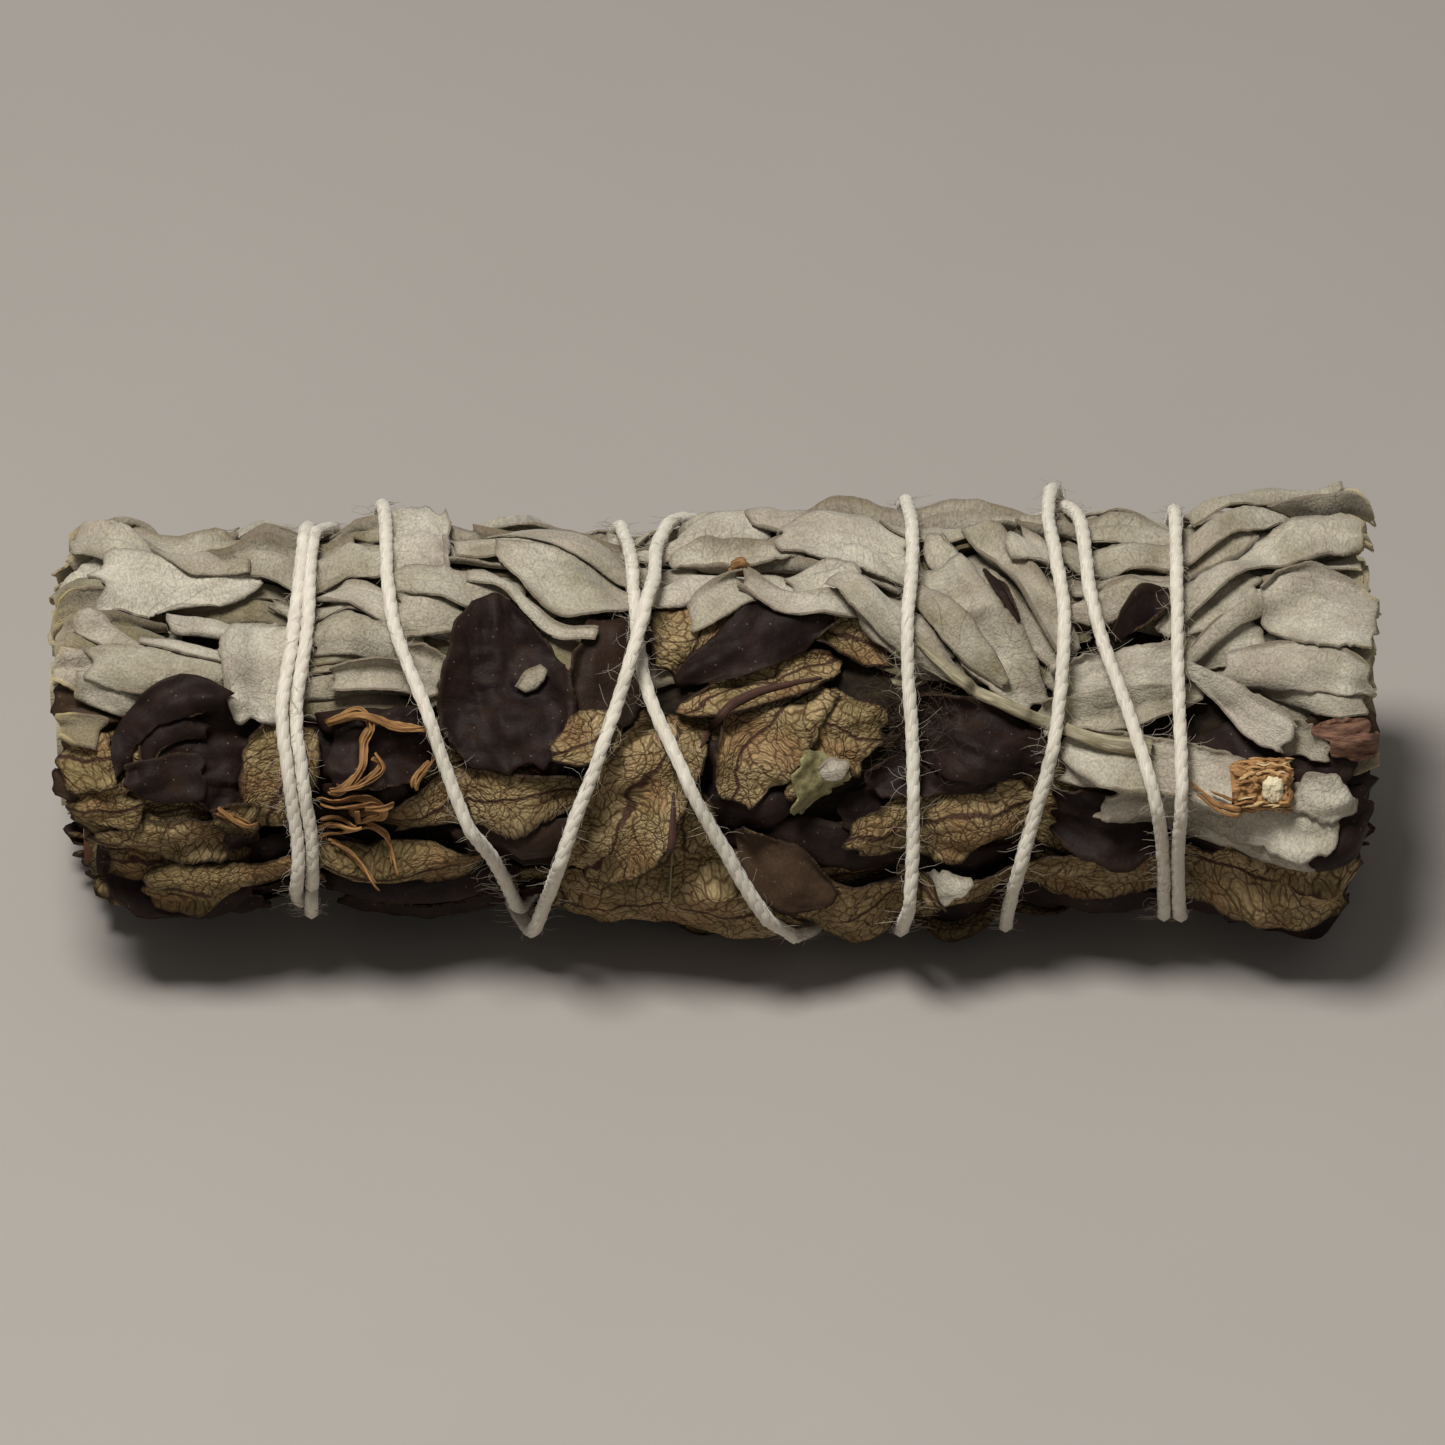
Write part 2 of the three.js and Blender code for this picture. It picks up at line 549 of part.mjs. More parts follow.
// One leaf rolled round a stem, seen from its cut end as an open curl.
function curlSolid(sprig, side, level, random) {
  const sign = side === "left" ? -1 : 1;
  const start = 2 * Math.PI * random();
  const sweep = (1.25 + 0.45 * random()) * Math.PI;
  const steps = Math.round(sweep / 0.95);
  const rings = Array.from({ length: steps + 1 }, (_, k) => {
    const turn = start + (sweep * k) / steps;
    const spoke = new THREE.Vector3(0, Math.cos(turn), Math.sin(turn));
    const rootX = sign * (coreEnd - 1.5);
    const tipX = endAt(side, sprig.around) - sign * 1.6 * random();
    const waved = level + 0.05 * Math.sin(3 * turn + start);
    const out = Math.max(waved * sprigReach(sprig, spoke, rootX), stemSize[sprig.kind].butt + 0.5 + level);
    const at = (x, r) => stemCentre(sprig, rootX).setX(x).addScaledVector(spoke, r);
    const thin = 0.38;
    return [at(rootX, out - thin), at(rootX, out + thin), at(tipX, out + thin), at(tipX, out - thin)];
  });
  return solidOf(loft(rings));
}

function curls(kind) {
  const random = seeded(kind === "sage" ? 301 : 302);
  return sprigs
    .filter((sprig) => sprig.kind === kind)
    .flatMap((sprig, k) =>
      ["left", "right"].flatMap((side, s) => {
        const levels = (k + s) % 2 ? [0.82] : [0.56, 0.9];
        return levels.map((level) => curlSolid(sprig, side, level, random));
      }),
    );
}

const stems = sprigs.map((sprig) => stemSolid(sprig));
const stemHoles = joined(sprigs.map((sprig) => stemSolid(sprig, clearance)));

// The broken stub.

function stubSolid(margin = 0) {
  const centre = place(0, stub.around, coreRadius(40) + leafLayers - 0.1);
  const random = seeded(9);
  const ends = [stub.x[0] - margin, stub.x[0] + 4, stub.x[1] - 0.8, stub.x[1] + margin];
  const rings = ends.map((x, i) =>
    Array.from({ length: 10 }, (_, k) => {
      const turn = (2 * Math.PI * k) / 10;
      const size = stub.radius * (0.92 + 0.14 * random()) + margin;
      const ragged = i === 3 ? 0.9 * random() : 0;
      const across = new THREE.Vector3(0, Math.cos(turn), Math.sin(turn)).multiplyScalar(size);
      return new THREE.Vector3(x - ragged, centre.y, centre.z).add(across);
    }),
  );
  return solidOf(loft(rings));
}

const stubHole = stubSolid(clearance);

// The leaves' two bodies.

const overlyingDepth = 0.9;
const darkLaid = [...underDark, ...behindDark, ...facingDark, ...resting];
const sageLaid = [...underSage, ...behindSage, ...facingSage];
const table = new THREE.BoxGeometry(240, 240, 20).translate(0, 0, -10);
const below = solidOf(table.toNonIndexed());

const darkGrown = joined([...darkLaid.map((leaf) => leafSolid(leaf, clearance)), darkSector(clearance)]);
const overlyingGrown = joined(overlying.map((leaf) => leafSolid(leaf, clearance, overlyingDepth)));
const overlyingSolid = joined(overlying.map((leaf) => leafSolid(leaf, 0, overlyingDepth)));

const darkBody = joined([darkCore, ...darkLaid.map((leaf) => leafSolid(leaf)), ...curls("dark")])
  .subtract(overlyingGrown);
const sageBody = joined([sageCore, ...sageLaid.map((leaf) => leafSolid(leaf)), ...curls("sage")])
  .subtract(darkGrown)
  .add(overlyingSolid);

const tidied = (solid) =>
  largestBody(solid.subtract(stemHoles).subtract(stubHole).subtract(below).simplify(0.04));
const dark = tidied(darkBody);
const sage = tidied(sageBody.subtract(wasm.Manifold.union([dark]).simplify(0.01)));

// The string.

// The outermost radius of the leaves, on a grid of half a millimetre by 2 degrees.
const skin = { rows: 240, columns: 180, radius: new Float32Array(240 * 180) };
function skinCell(x, around) {
  const row = THREE.MathUtils.clamp(Math.round(2 * x + skin.rows / 2), 0, skin.rows - 1);
  const column = THREE.MathUtils.euclideanModulo(Math.round(around / 2), skin.columns);
  return row * skin.columns + column;
}

function coverSkin(solid) {
  const { vertProperties, triVerts } = solid.getMesh();
  const corner = (k) => new THREE.Vector3().fromArray(vertProperties, 3 * triVerts[k]);
  const point = new THREE.Vector3();
  for (let k = 0; k < triVerts.length; k += 3) {
    const [a, b, c] = [corner(k), corner(k + 1), corner(k + 2)];
    const fine = Math.max(1, Math.ceil(Math.max(a.distanceTo(b), b.distanceTo(c), c.distanceTo(a)) / 0.4));
    for (let i = 0; i <= fine; i++) {
      for (let j = 0; i + j <= fine; j++) {
        point.copy(a);
        point.addScaledVector(b.clone().sub(a), i / fine);
        point.addScaledVector(c.clone().sub(a), j / fine);
        const around = THREE.MathUtils.radToDeg(Math.atan2(point.z - axisHeight, -point.y)) - faceTilt;
        const cell = skinCell(point.x, around);
        skin.radius[cell] = Math.max(skin.radius[cell], Math.hypot(point.y, point.z - axisHeight));
      }
    }
  }
}

function skinNear(x, around) {
  let most = 0;
  for (let dx = -1; dx <= 1; dx += 0.5) {
    for (let turn = -6; turn <= 6; turn += 2) {
      most = Math.max(most, skin.radius[skinCell(x + dx, around + turn)]);
    }
  }
  return most;
}

// The string is taut: it lies on the highest leaves and runs straight between them.
function tautRadii() {
  const radii = stringX.map(
    (x, k) => skinNear(x, stringStart - k * stringStep) + clearance + stringDiameter / 2,
  );
  const chord = Math.cos(THREE.MathUtils.degToRad(stringStep));
  for (let pass = 0; pass < 300; pass++) {
    for (let k = 1; k + 1 < radii.length; k++) {
      radii[k] = Math.max(radii[k], ((radii[k - 1] + radii[k + 1]) / 2) * chord);
    }
  }
  return radii;
}

// Where a later turn crosses an earlier one, it rides over it in a long low hump.
function humpOver(k) {
  const turn = 360 / stringStep;
  const near = Math.round(40 / stringStep);
  let rise = 0;
  for (let earlier = k - turn; earlier >= 0; earlier -= turn) {
    const gap = (at) => stringX[k + at] - stringX[earlier + at];
    const spans = [-near, near].map((at) => (stringX[k + at] === undefined ? 0 : gap(at)));
    if (stringX[earlier - near] === undefined || spans[0] * spans[1] >= 0) continue;
    rise = Math.max(rise, 1 - THREE.MathUtils.smoothstep(Math.abs(gap(0)), 2.2, 5));
  }
  return rise * (stringDiameter + 0.25);
}

class StringCurve extends THREE.Curve {
  constructor(radii) {
    super();
    this.radii = radii;
    this.arcLengthDivisions = 3000;
  }

  getPoint(t, target = new THREE.Vector3()) {
    const at = t * (this.radii.length - 1);
    const k = Math.min(Math.floor(at), this.radii.length - 2);
    const x = THREE.MathUtils.lerp(stringX[k], stringX[k + 1], at - k);
    const out = THREE.MathUtils.lerp(this.radii[k], this.radii[k + 1], at - k);
    return target.copy(place(x, stringStart - at * stringStep, out));
  }
}

[dark, sage].forEach(coverSkin);
const stringCurve = new StringCurve(tautRadii().map((out, k) => out + humpOver(k)));
const section = new THREE.Shape(
  Array.from({ length: 6 }, (_, k) => {
    const turn = (2 * Math.PI * (k + 0.5)) / 6;
    return new THREE.Vector2(Math.cos(turn), Math.sin(turn)).multiplyScalar(stringDiameter / 2);
  }),
);
const stringTube = new THREE.ExtrudeGeometry(section, {
  steps: 232,
  extrudePath: stringCurve,
  bevelEnabled: false,
});
const knotRadius = bunchRadius(knot.x) + knot.radius * knot.flat;
const knotBall = new THREE.IcosahedronGeometry(knot.radius, 1)
  .scale(1, 1, knot.flat)
  .rotateX(THREE.MathUtils.degToRad(90 - knot.around - faceTilt))
  .translate(...place(knot.x, knot.around, knotRadius));
const string = solidOf(stringTube).add(solidOf(knotBall)).subtract(below);

// The bunch.

const bunch = new THREE.Group();
bunch.name = "sage_bunch";
bunch.add(meshOf("sage_leaves", sage, materials.sage));
bunch.add(meshOf("dark_leaves", dark, materials.dark));
const count = { sage: 0, dark: 0 };
sprigs.forEach((sprig, k) => {
  count[sprig.kind] += 1;
  const material = sprig.kind === "sage" ? materials.sageStem : materials.darkStem;
  bunch.add(meshOf(`${sprig.kind}_stem_${count[sprig.kind]}`, stems[k], material));
});
bunch.add(meshOf("woody_stub", stubSolid(), materials.wood));
bunch.add(meshOf("cotton_string", string, materials.string));

// The origin is under the middle of the bunch's box.
const box = new THREE.Box3().setFromObject(bunch, true);
bunch.position.set(-(box.min.x + box.max.x) / 2, -(box.min.y + box.max.y) / 2, 0);

export default bunch;
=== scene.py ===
import math

import bpy
import mathutils
import numpy as np
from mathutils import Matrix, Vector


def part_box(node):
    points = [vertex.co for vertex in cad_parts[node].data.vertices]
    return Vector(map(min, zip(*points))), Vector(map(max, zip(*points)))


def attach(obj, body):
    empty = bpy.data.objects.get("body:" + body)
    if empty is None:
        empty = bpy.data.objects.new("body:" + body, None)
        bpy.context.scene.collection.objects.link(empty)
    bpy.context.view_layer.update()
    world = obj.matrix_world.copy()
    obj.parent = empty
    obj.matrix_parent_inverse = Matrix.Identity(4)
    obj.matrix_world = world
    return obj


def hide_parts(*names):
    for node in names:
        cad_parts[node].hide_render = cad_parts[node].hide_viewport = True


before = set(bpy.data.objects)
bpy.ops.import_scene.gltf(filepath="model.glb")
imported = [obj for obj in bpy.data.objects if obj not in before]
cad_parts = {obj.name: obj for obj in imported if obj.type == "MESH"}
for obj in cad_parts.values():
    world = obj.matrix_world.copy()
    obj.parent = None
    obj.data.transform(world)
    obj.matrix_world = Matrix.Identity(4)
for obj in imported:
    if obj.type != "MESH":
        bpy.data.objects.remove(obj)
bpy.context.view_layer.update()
print("frame loaded:", len(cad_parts), "nodes")

# Shapes are worked out in millimetres. A place on the bunch is x along it, around in degrees about
# its axis (0 on the side that faces out, 90 over the top, -90 underneath, 180 behind) and out, the
# distance from the axis.
mm = 0.001
axisLow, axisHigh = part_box("sage_stem_1")  # this stem runs along the axis
stubLow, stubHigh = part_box("woody_stub")
bunch = {
    "axisY": (axisLow.y + axisHigh.y) / 2 / mm,
    "axisZ": (axisLow.z + axisHigh.z) / 2 / mm,
    "stubStart": 37.7,  # where the broken stub begins
    "faceTilt": 40.0,
    "buttRadius": 14.2,
    "middleRadius": 16.3,
    "meanRadius": 15.5,
    "looseLayers": 4.5,  # depth of the leaves that are modelled one by one
    "leastPacked": 11.5,  # the stems lie just inside this radius
    "packedEnd": 44.5,
    "cutLeft": -52.0,
    "cutRight": 52.0,
    "slopeLeft": 4.5,  # how far the cut ends slope back, most of all at slopeAround
    "slopeRight": 2,
    "slopeAround": -75,
    "rawEdge": 49.9,  # a leaf's edge beyond this is a cut one
}
bunch["slide"] = stubLow.x / mm - bunch["stubStart"]  # the origin is under the middle of the box
mmPerDegree = math.pi / 180 * bunch["meanRadius"]
aboveFloor = {"leaf": 0.14, "skin": 0.03, "string": 0.62, "fibre": 0.02}  # the least height of each

# What a leaf lies on counts in full up to the first of these heights over the bunch's radius, and then
# ever less, up to the second: the leaves below are pressed together.
hiddenLimits, outerLimits = (-3.2, -2.0), (-1.0, 0.1)
stacking = {"limits": hiddenLimits}


def smooth(x, low, high):
    t = np.clip((x - low) / (high - low), 0, 1)
    return t * t * (3 - 2 * t)


def bunchRadius(x):
    return bunch["buttRadius"] + (bunch["middleRadius"] - bunch["buttRadius"]) * smooth(x, -58, -4)


def packedRadius(x):
    return np.maximum(bunchRadius(x) - bunch["looseLayers"], bunch["leastPacked"])


def pressed(x, height):
    low, high = stacking["limits"]
    free = bunchRadius(x) + low - packedRadius(x)
    over = np.maximum(height - free, 0)
    return np.minimum(height, free) + (high - low) * (1 - np.exp(-over / (high - low)))


def place(x, around, out):
    turn = np.radians(np.asarray(around) + bunch["faceTilt"])
    y = bunch["axisY"] - out * np.cos(turn)
    z = bunch["axisZ"] + out * np.sin(turn)
    return np.stack(np.broadcast_arrays(x + bunch["slide"], y, z), axis=-1)


def outwardAt(x, around, out):
    return place(x, around, out + 1) - place(x, around, out)


def endAt(side, around):  # the cut ends slope back a little under the facing side
    under = max(0.0, math.cos(math.radians(around - bunch["slopeAround"]))) ** 3
    if side == "left":
        return bunch["cutLeft"] + bunch["slopeLeft"] * under
    return bunch["cutRight"] - bunch["slopeRight"] * under


# The bunch is uneven over the top and underneath: where its hollows lie along it, how far each
# reaches and how deep it is in mm. A depth below 0 is a swelling.
hollows = {
    92: [(-47, 2.5, -0.7), (-43, 2.5, 1.2), (-35, 3, -0.6), (-25, 3.6, -1.6), (-18.5, 3, 1.0),
         (-11.5, 4, 1.2), (-5.5, 3.5, 2.3), (1, 3.5, 1.1), (4.5, 3, 0.8), (26.8, 4.2, -2.0), (13, 3, 0.6),
         (51.5, 2, -1.9)],
    -88: [(-33, 6, -0.7), (-15, 9, -1.1), (5, 8.5, -2.3), (22, 9, -0.5), (37, 8, -1.4)],
}
hollowBreadth = 42  # degrees


def sunk(x, around):
    depths = 0
    for turn, row in hollows.items():
        off = (np.asarray(around) - turn + 180) % 360 - 180
        for at, reach, depth in row:
            depths = depths + depth * np.exp(-(((x - at) / reach) ** 2) - (off / hollowBreadth) ** 2)
    return depths


def unit(v):
    return v / np.maximum(np.linalg.norm(v, axis=-1, keepdims=True), 1e-9)


def ripple(u, v, seed):
    # Smooth noise from -1 to 1, one bump for each unit of u and v.
    u, v = np.broadcast_arrays(np.asarray(u, float), np.asarray(v, float))
    lattice = np.random.default_rng(seed).uniform(-1, 1, (64, 64))
    i, j = np.floor(u).astype(int), np.floor(v).astype(int)
    s, t = u - i, v - j
    s, t = s * s * (3 - 2 * s), t * t * (3 - 2 * t)
    near = lattice[i % 64, j % 64] * (1 - t) + lattice[i % 64, (j + 1) % 64] * t
    far = lattice[(i + 1) % 64, j % 64] * (1 - t) + lattice[(i + 1) % 64, (j + 1) % 64] * t
    return near * (1 - s) + far * s


def crumple(u, v, seed):  # creased like dry leaf: three sizes of folded noise
    total = 0
    for size, weight in ((1, 0.55), (2.1, 0.3), (4.3, 0.15)):
        total = total + weight * (1 - 2 * np.abs(ripple(u * size, v * size, seed + int(size * 10))))
    return total


def curveThrough(points, perSpan):  # a centripetal curve through the points
    points = np.asarray(points, float)
    padded = np.vstack([2 * points[0] - points[1], points, 2 * points[-1] - points[-2]])
    share = np.linspace(0, 1, perSpan, endpoint=False)[:, None]
    spans = []
    for p0, p1, p2, p3 in zip(padded, padded[1:], padded[2:], padded[3:]):
        d0, d1, d2 = (np.linalg.norm(b - a) ** 0.5 + 1e-6 for a, b in ((p0, p1), (p1, p2), (p2, p3)))
        t1 = ((p1 - p0) / d0 - (p2 - p0) / (d0 + d1) + (p2 - p1) / d1) * d1
        t2 = ((p2 - p1) / d1 - (p3 - p1) / (d1 + d2) + (p3 - p2) / d2) * d1
        bend = (-3 * p1 + 3 * p2 - 2 * t1 - t2) * share**2 + (2 * p1 - 2 * p2 + t1 + t2) * share**3
        spans.append(p1 + t1 * share + bend)
    return np.vstack(spans + [points[-1:]])


def interpolated(at, run, values):
    return np.stack([np.interp(at, run, column) for column in values.T], axis=1)


def evenly(line, step):  # the line again with points at an even distance, and how far along each is
    gaps = np.linalg.norm(np.diff(line[:, :2], axis=0), axis=1)
    run = np.concatenate([[0], np.cumsum(gaps)])
    at = np.linspace(0, run[-1], max(5, int(round(run[-1] / step))) + 1)
    return at, interpolated(at, run, line)


# Meshes

def closedSheet(mid, thick, u, v, tone, rim, net):
    # A thin closed leaf round its middle surface. Net tells which face is outside: 1 is the underside.
    shape, half = mid.shape[:2], thick / 2
    normal = unit(np.cross(np.gradient(mid, axis=0), np.gradient(mid, axis=1)))
    both = np.concatenate([(mid + normal * half).reshape(-1, 3), (mid - normal * half).reshape(-1, 3)])
    both[:, 2] = np.maximum(both[:, 2], aboveFloor["skin"])
    under = shape[0] * shape[1]
    index = np.arange(under).reshape(shape)
    a, b, c, d = index[:-1, :-1], index[1:, :-1], index[1:, 1:], index[:-1, 1:]
    top = np.stack([a, b, c, d], axis=-1).reshape(-1, 4)
    bottom = np.stack([a, d, c, b], axis=-1).reshape(-1, 4) + under
    loop = np.concatenate([index[:-1, 0], index[-1, :-1], index[:0:-1, -1], index[0, :0:-1]])
    ahead = np.roll(loop, -1)
    edge = np.stack([ahead, loop, loop + under, ahead + under], axis=-1)
    u, v, tone, rim, net = (np.broadcast_to(value, shape).ravel() for value in (u, v, tone, rim, net))
    return {
        "points": both,
        "faces": [np.concatenate([top, bottom]), edge],
        "uv": np.tile(np.stack([u, v], axis=-1), (2, 1)),
        "tone": np.tile(tone, 2),
        "rim": np.tile(rim, 2),
        "net": np.concatenate([net, 1 - net]),
        "cut": np.clip(np.abs(both[:, 0] - bunch["slide"]) - bunch["rawEdge"], 0, 1),
    }


def closedTube(rings, u, v, tone=0.5, rim=0.0, net=0.0):
    # A tube through rings of points (rings, sides, 3), with a flat face on each end.
    shape = rings.shape[:2]
    index = np.arange(shape[0] * shape[1]).reshape(shape)
    a, b = index[:-1], index[1:]
    walls = np.stack([a, b, np.roll(b, -1, axis=1), np.roll(a, -1, axis=1)], axis=-1).reshape(-1, 4)
    u, v, tone, rim, net = (np.broadcast_to(value, shape).ravel() for value in (u, v, tone, rim, net))
    return {
        "points": rings.reshape(-1, 3),
        "faces": [walls, np.stack([index[0], index[-1, ::-1]])],
        "uv": np.stack([u, v], axis=-1),
        "tone": tone,
        "rim": rim,
        "net": net,
        "cut": np.zeros(len(u)),
    }


def ringsRound(centre, radius, up, beside, turn):
    # Rings of points round a line, which face along it. Radius has a row for each ring.
    spoke = np.cos(turn)[None, :, None] * up[:, None] + np.sin(turn)[None, :, None] * beside[:, None]
    return centre[:, None] + radius[..., None] * spoke


def roundTurn(sides, start=0.0):
    return np.linspace(start, start + 2 * math.pi, sides, endpoint=False)


def acrossX(turn):  # unit vectors square to x
    return np.stack([0 * turn, np.cos(turn), np.sin(turn)], axis=-1)


def makePiece(name, parts, material, replaced):
    values = {key: np.concatenate([part[key] for part in parts]) for key in parts[0] if key != "faces"}
    starts = np.cumsum([0] + [len(part["points"]) for part in parts])
    faces = [block + start for part, start in zip(parts, starts) for block in part["faces"]]
    corners = np.concatenate([block.ravel() for block in faces])
    sizes = np.concatenate([np.full(len(block), block.shape[1]) for block in faces])
    # The second block of each part is crisp: a sheet's edge, or a tube's two ends.
    rounded = np.concatenate([np.full(len(block), k % 2 == 0) for k, block in enumerate(faces)])
    mesh = bpy.data.meshes.new(name)
    mesh.vertices.add(len(values["points"]))
    mesh.vertices.foreach_set("co", (values.pop("points") * mm).astype(np.float32).ravel())
    mesh.loops.add(len(corners))
    mesh.loops.foreach_set("vertex_index", corners.astype(np.int32))
    mesh.polygons.add(len(sizes))
    mesh.polygons.foreach_set("loop_start", np.concatenate([[0], np.cumsum(sizes)[:-1]]).astype(np.int32))
    mesh.polygons.foreach_set("use_smooth", rounded)
    uv = values.pop("uv")[corners]
    mesh.uv_layers.new(name="leafMm").data.foreach_set("uv", uv.astype(np.float32).ravel())
    for key, value in values.items():
        mesh.attributes.new(key, "FLOAT", "POINT").data.foreach_set("value", value.astype(np.float32))
    mesh.update(calc_edges=True)
    mesh.validate()
    mesh.materials.append(material)
    piece = bpy.data.objects.new(name, mesh)
    bpy.context.scene.collection.objects.link(piece)
    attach(piece, "root")
    if replaced:
        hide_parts(*replaced)
    print(f"{name}: {int((sizes - 2).sum())} triangles")
    return piece


# Materials

def linear(hexColour):
    parts = [int(hexColour[k:k + 2], 16) / 255 for k in (1, 3, 5)]
    return tuple(c / 12.92 if c <= 0.04045 else ((c + 0.055) / 1.055) ** 2.4 for c in parts) + (1.0,)


def add(tree, kind, inputs=(), stops=(), **settings):
    # One node with its settings and links. Its inputs come in order or under their names, and hex
    # colours are turned to linear. Stops are the places and colours of a colour ramp.
    made = tree.nodes.new("ShaderNode" + kind)
    for name, value in settings.items():
        setattr(made, name, value)
    for key, value in inputs.items() if isinstance(inputs, dict) else enumerate(inputs):
        if isinstance(value, bpy.types.NodeSocket):
            tree.links.new(value, made.inputs[key])
        else:
            made.inputs[key].default_value = linear(value) if isinstance(value, str) else value
    for k, (position, colour) in enumerate(stops):
        ramp = made.color_ramp.elements
        if k >= len(ramp):
            ramp.new(position)
        ramp[k].position = position
        ramp[k].color = linear(colour)
    return made.outputs


flat = {"noise_dimensions": "2D"}
colours = {"data_type": "RGBA"}
eased = {"interpolation_type": "SMOOTHSTEP"}
edgeCells = {"voronoi_dimensions": "2D", "feature": "DISTANCE_TO_EDGE"}
plus = {"operation": "ADD"}
times = {"operation": "MULTIPLY"}
timesPlus = {"operation": "MULTIPLY_ADD"}
scaled = {"operation": "SCALE"}


def emptyMaterial(name):
    material = bpy.data.materials.new(name)
    material.use_nodes = True
    material.node_tree.nodes.clear()
    return material, material.node_tree


def startMaterial(name, *stored):
    # A material with the place on the leaf in mm, and the values stored on the mesh under these names.
    material, tree = emptyMaterial(name)
    uv = add(tree, "UVMap", uv_map="leafMm")[0]
    return material, tree, uv, *(add(tree, "Attribute", attribute_name=key)["Fac"] for key in stored)


def finishMaterial(material, look, colour, height, **more):
    # The bump is its strength and its depth in mm.
    tree, (strength, depth) = material.node_tree, look["bump"]
    bump = add(tree, "Bump", {"Height": height, "Strength": strength, "Distance": depth * mm})[0]
    surface = {"Base Color": colour, "Normal": bump, **look["surface"], **more}
    add(tree, "OutputMaterial", {"Surface": add(tree, "BsdfPrincipled", surface)[0]})
    return material


def addedUp(tree, total, parts):  # each further value counts by its weight
    for value, weight in parts:
        total = add(tree, "Math", (value, weight, total), **timesPlus)[0]
    return total


def sideVeins(tree, where, look):
    # Veins that leave the midrib at a slope and an even distance, and how far off the midrib is.
    split = add(tree, "SeparateXYZ", (where,))
    beside = add(tree, "Math", (split[1],), operation="ABSOLUTE")[0]
    run = add(tree, "Math", (beside, -look["slope"], split[0]), **timesPlus)[0]
    wave = add(tree, "Math", (run, look["halfGapMm"]), operation="PINGPONG")[0]
    return add(tree, "MapRange", (wave, 0.02, look["widthMm"], look["strength"], 0.0), **eased)[0], beside


def grainOf(tree, uv, look):
    # Grain drawn out along the piece, and the colour that it gives, from dark to light.
    along, across = look["grainMm"]
    drawn = add(tree, "VectorMath", (uv, (1 / along, 1 / across, 1)), **times)[0]
    grain = add(tree, "TexNoise", {"Vector": drawn, "Scale": 1.0, "Detail": look["detail"],
                                   "Roughness": look.get("coarse", 0.5)}, **flat)[0]
    spread = add(tree, "MapRange", (grain, *look["spread"]))[0]
    return grain, add(tree, "Mix", {0: spread, 6: look["dark"], 7: look["light"]}, **colours)[2]


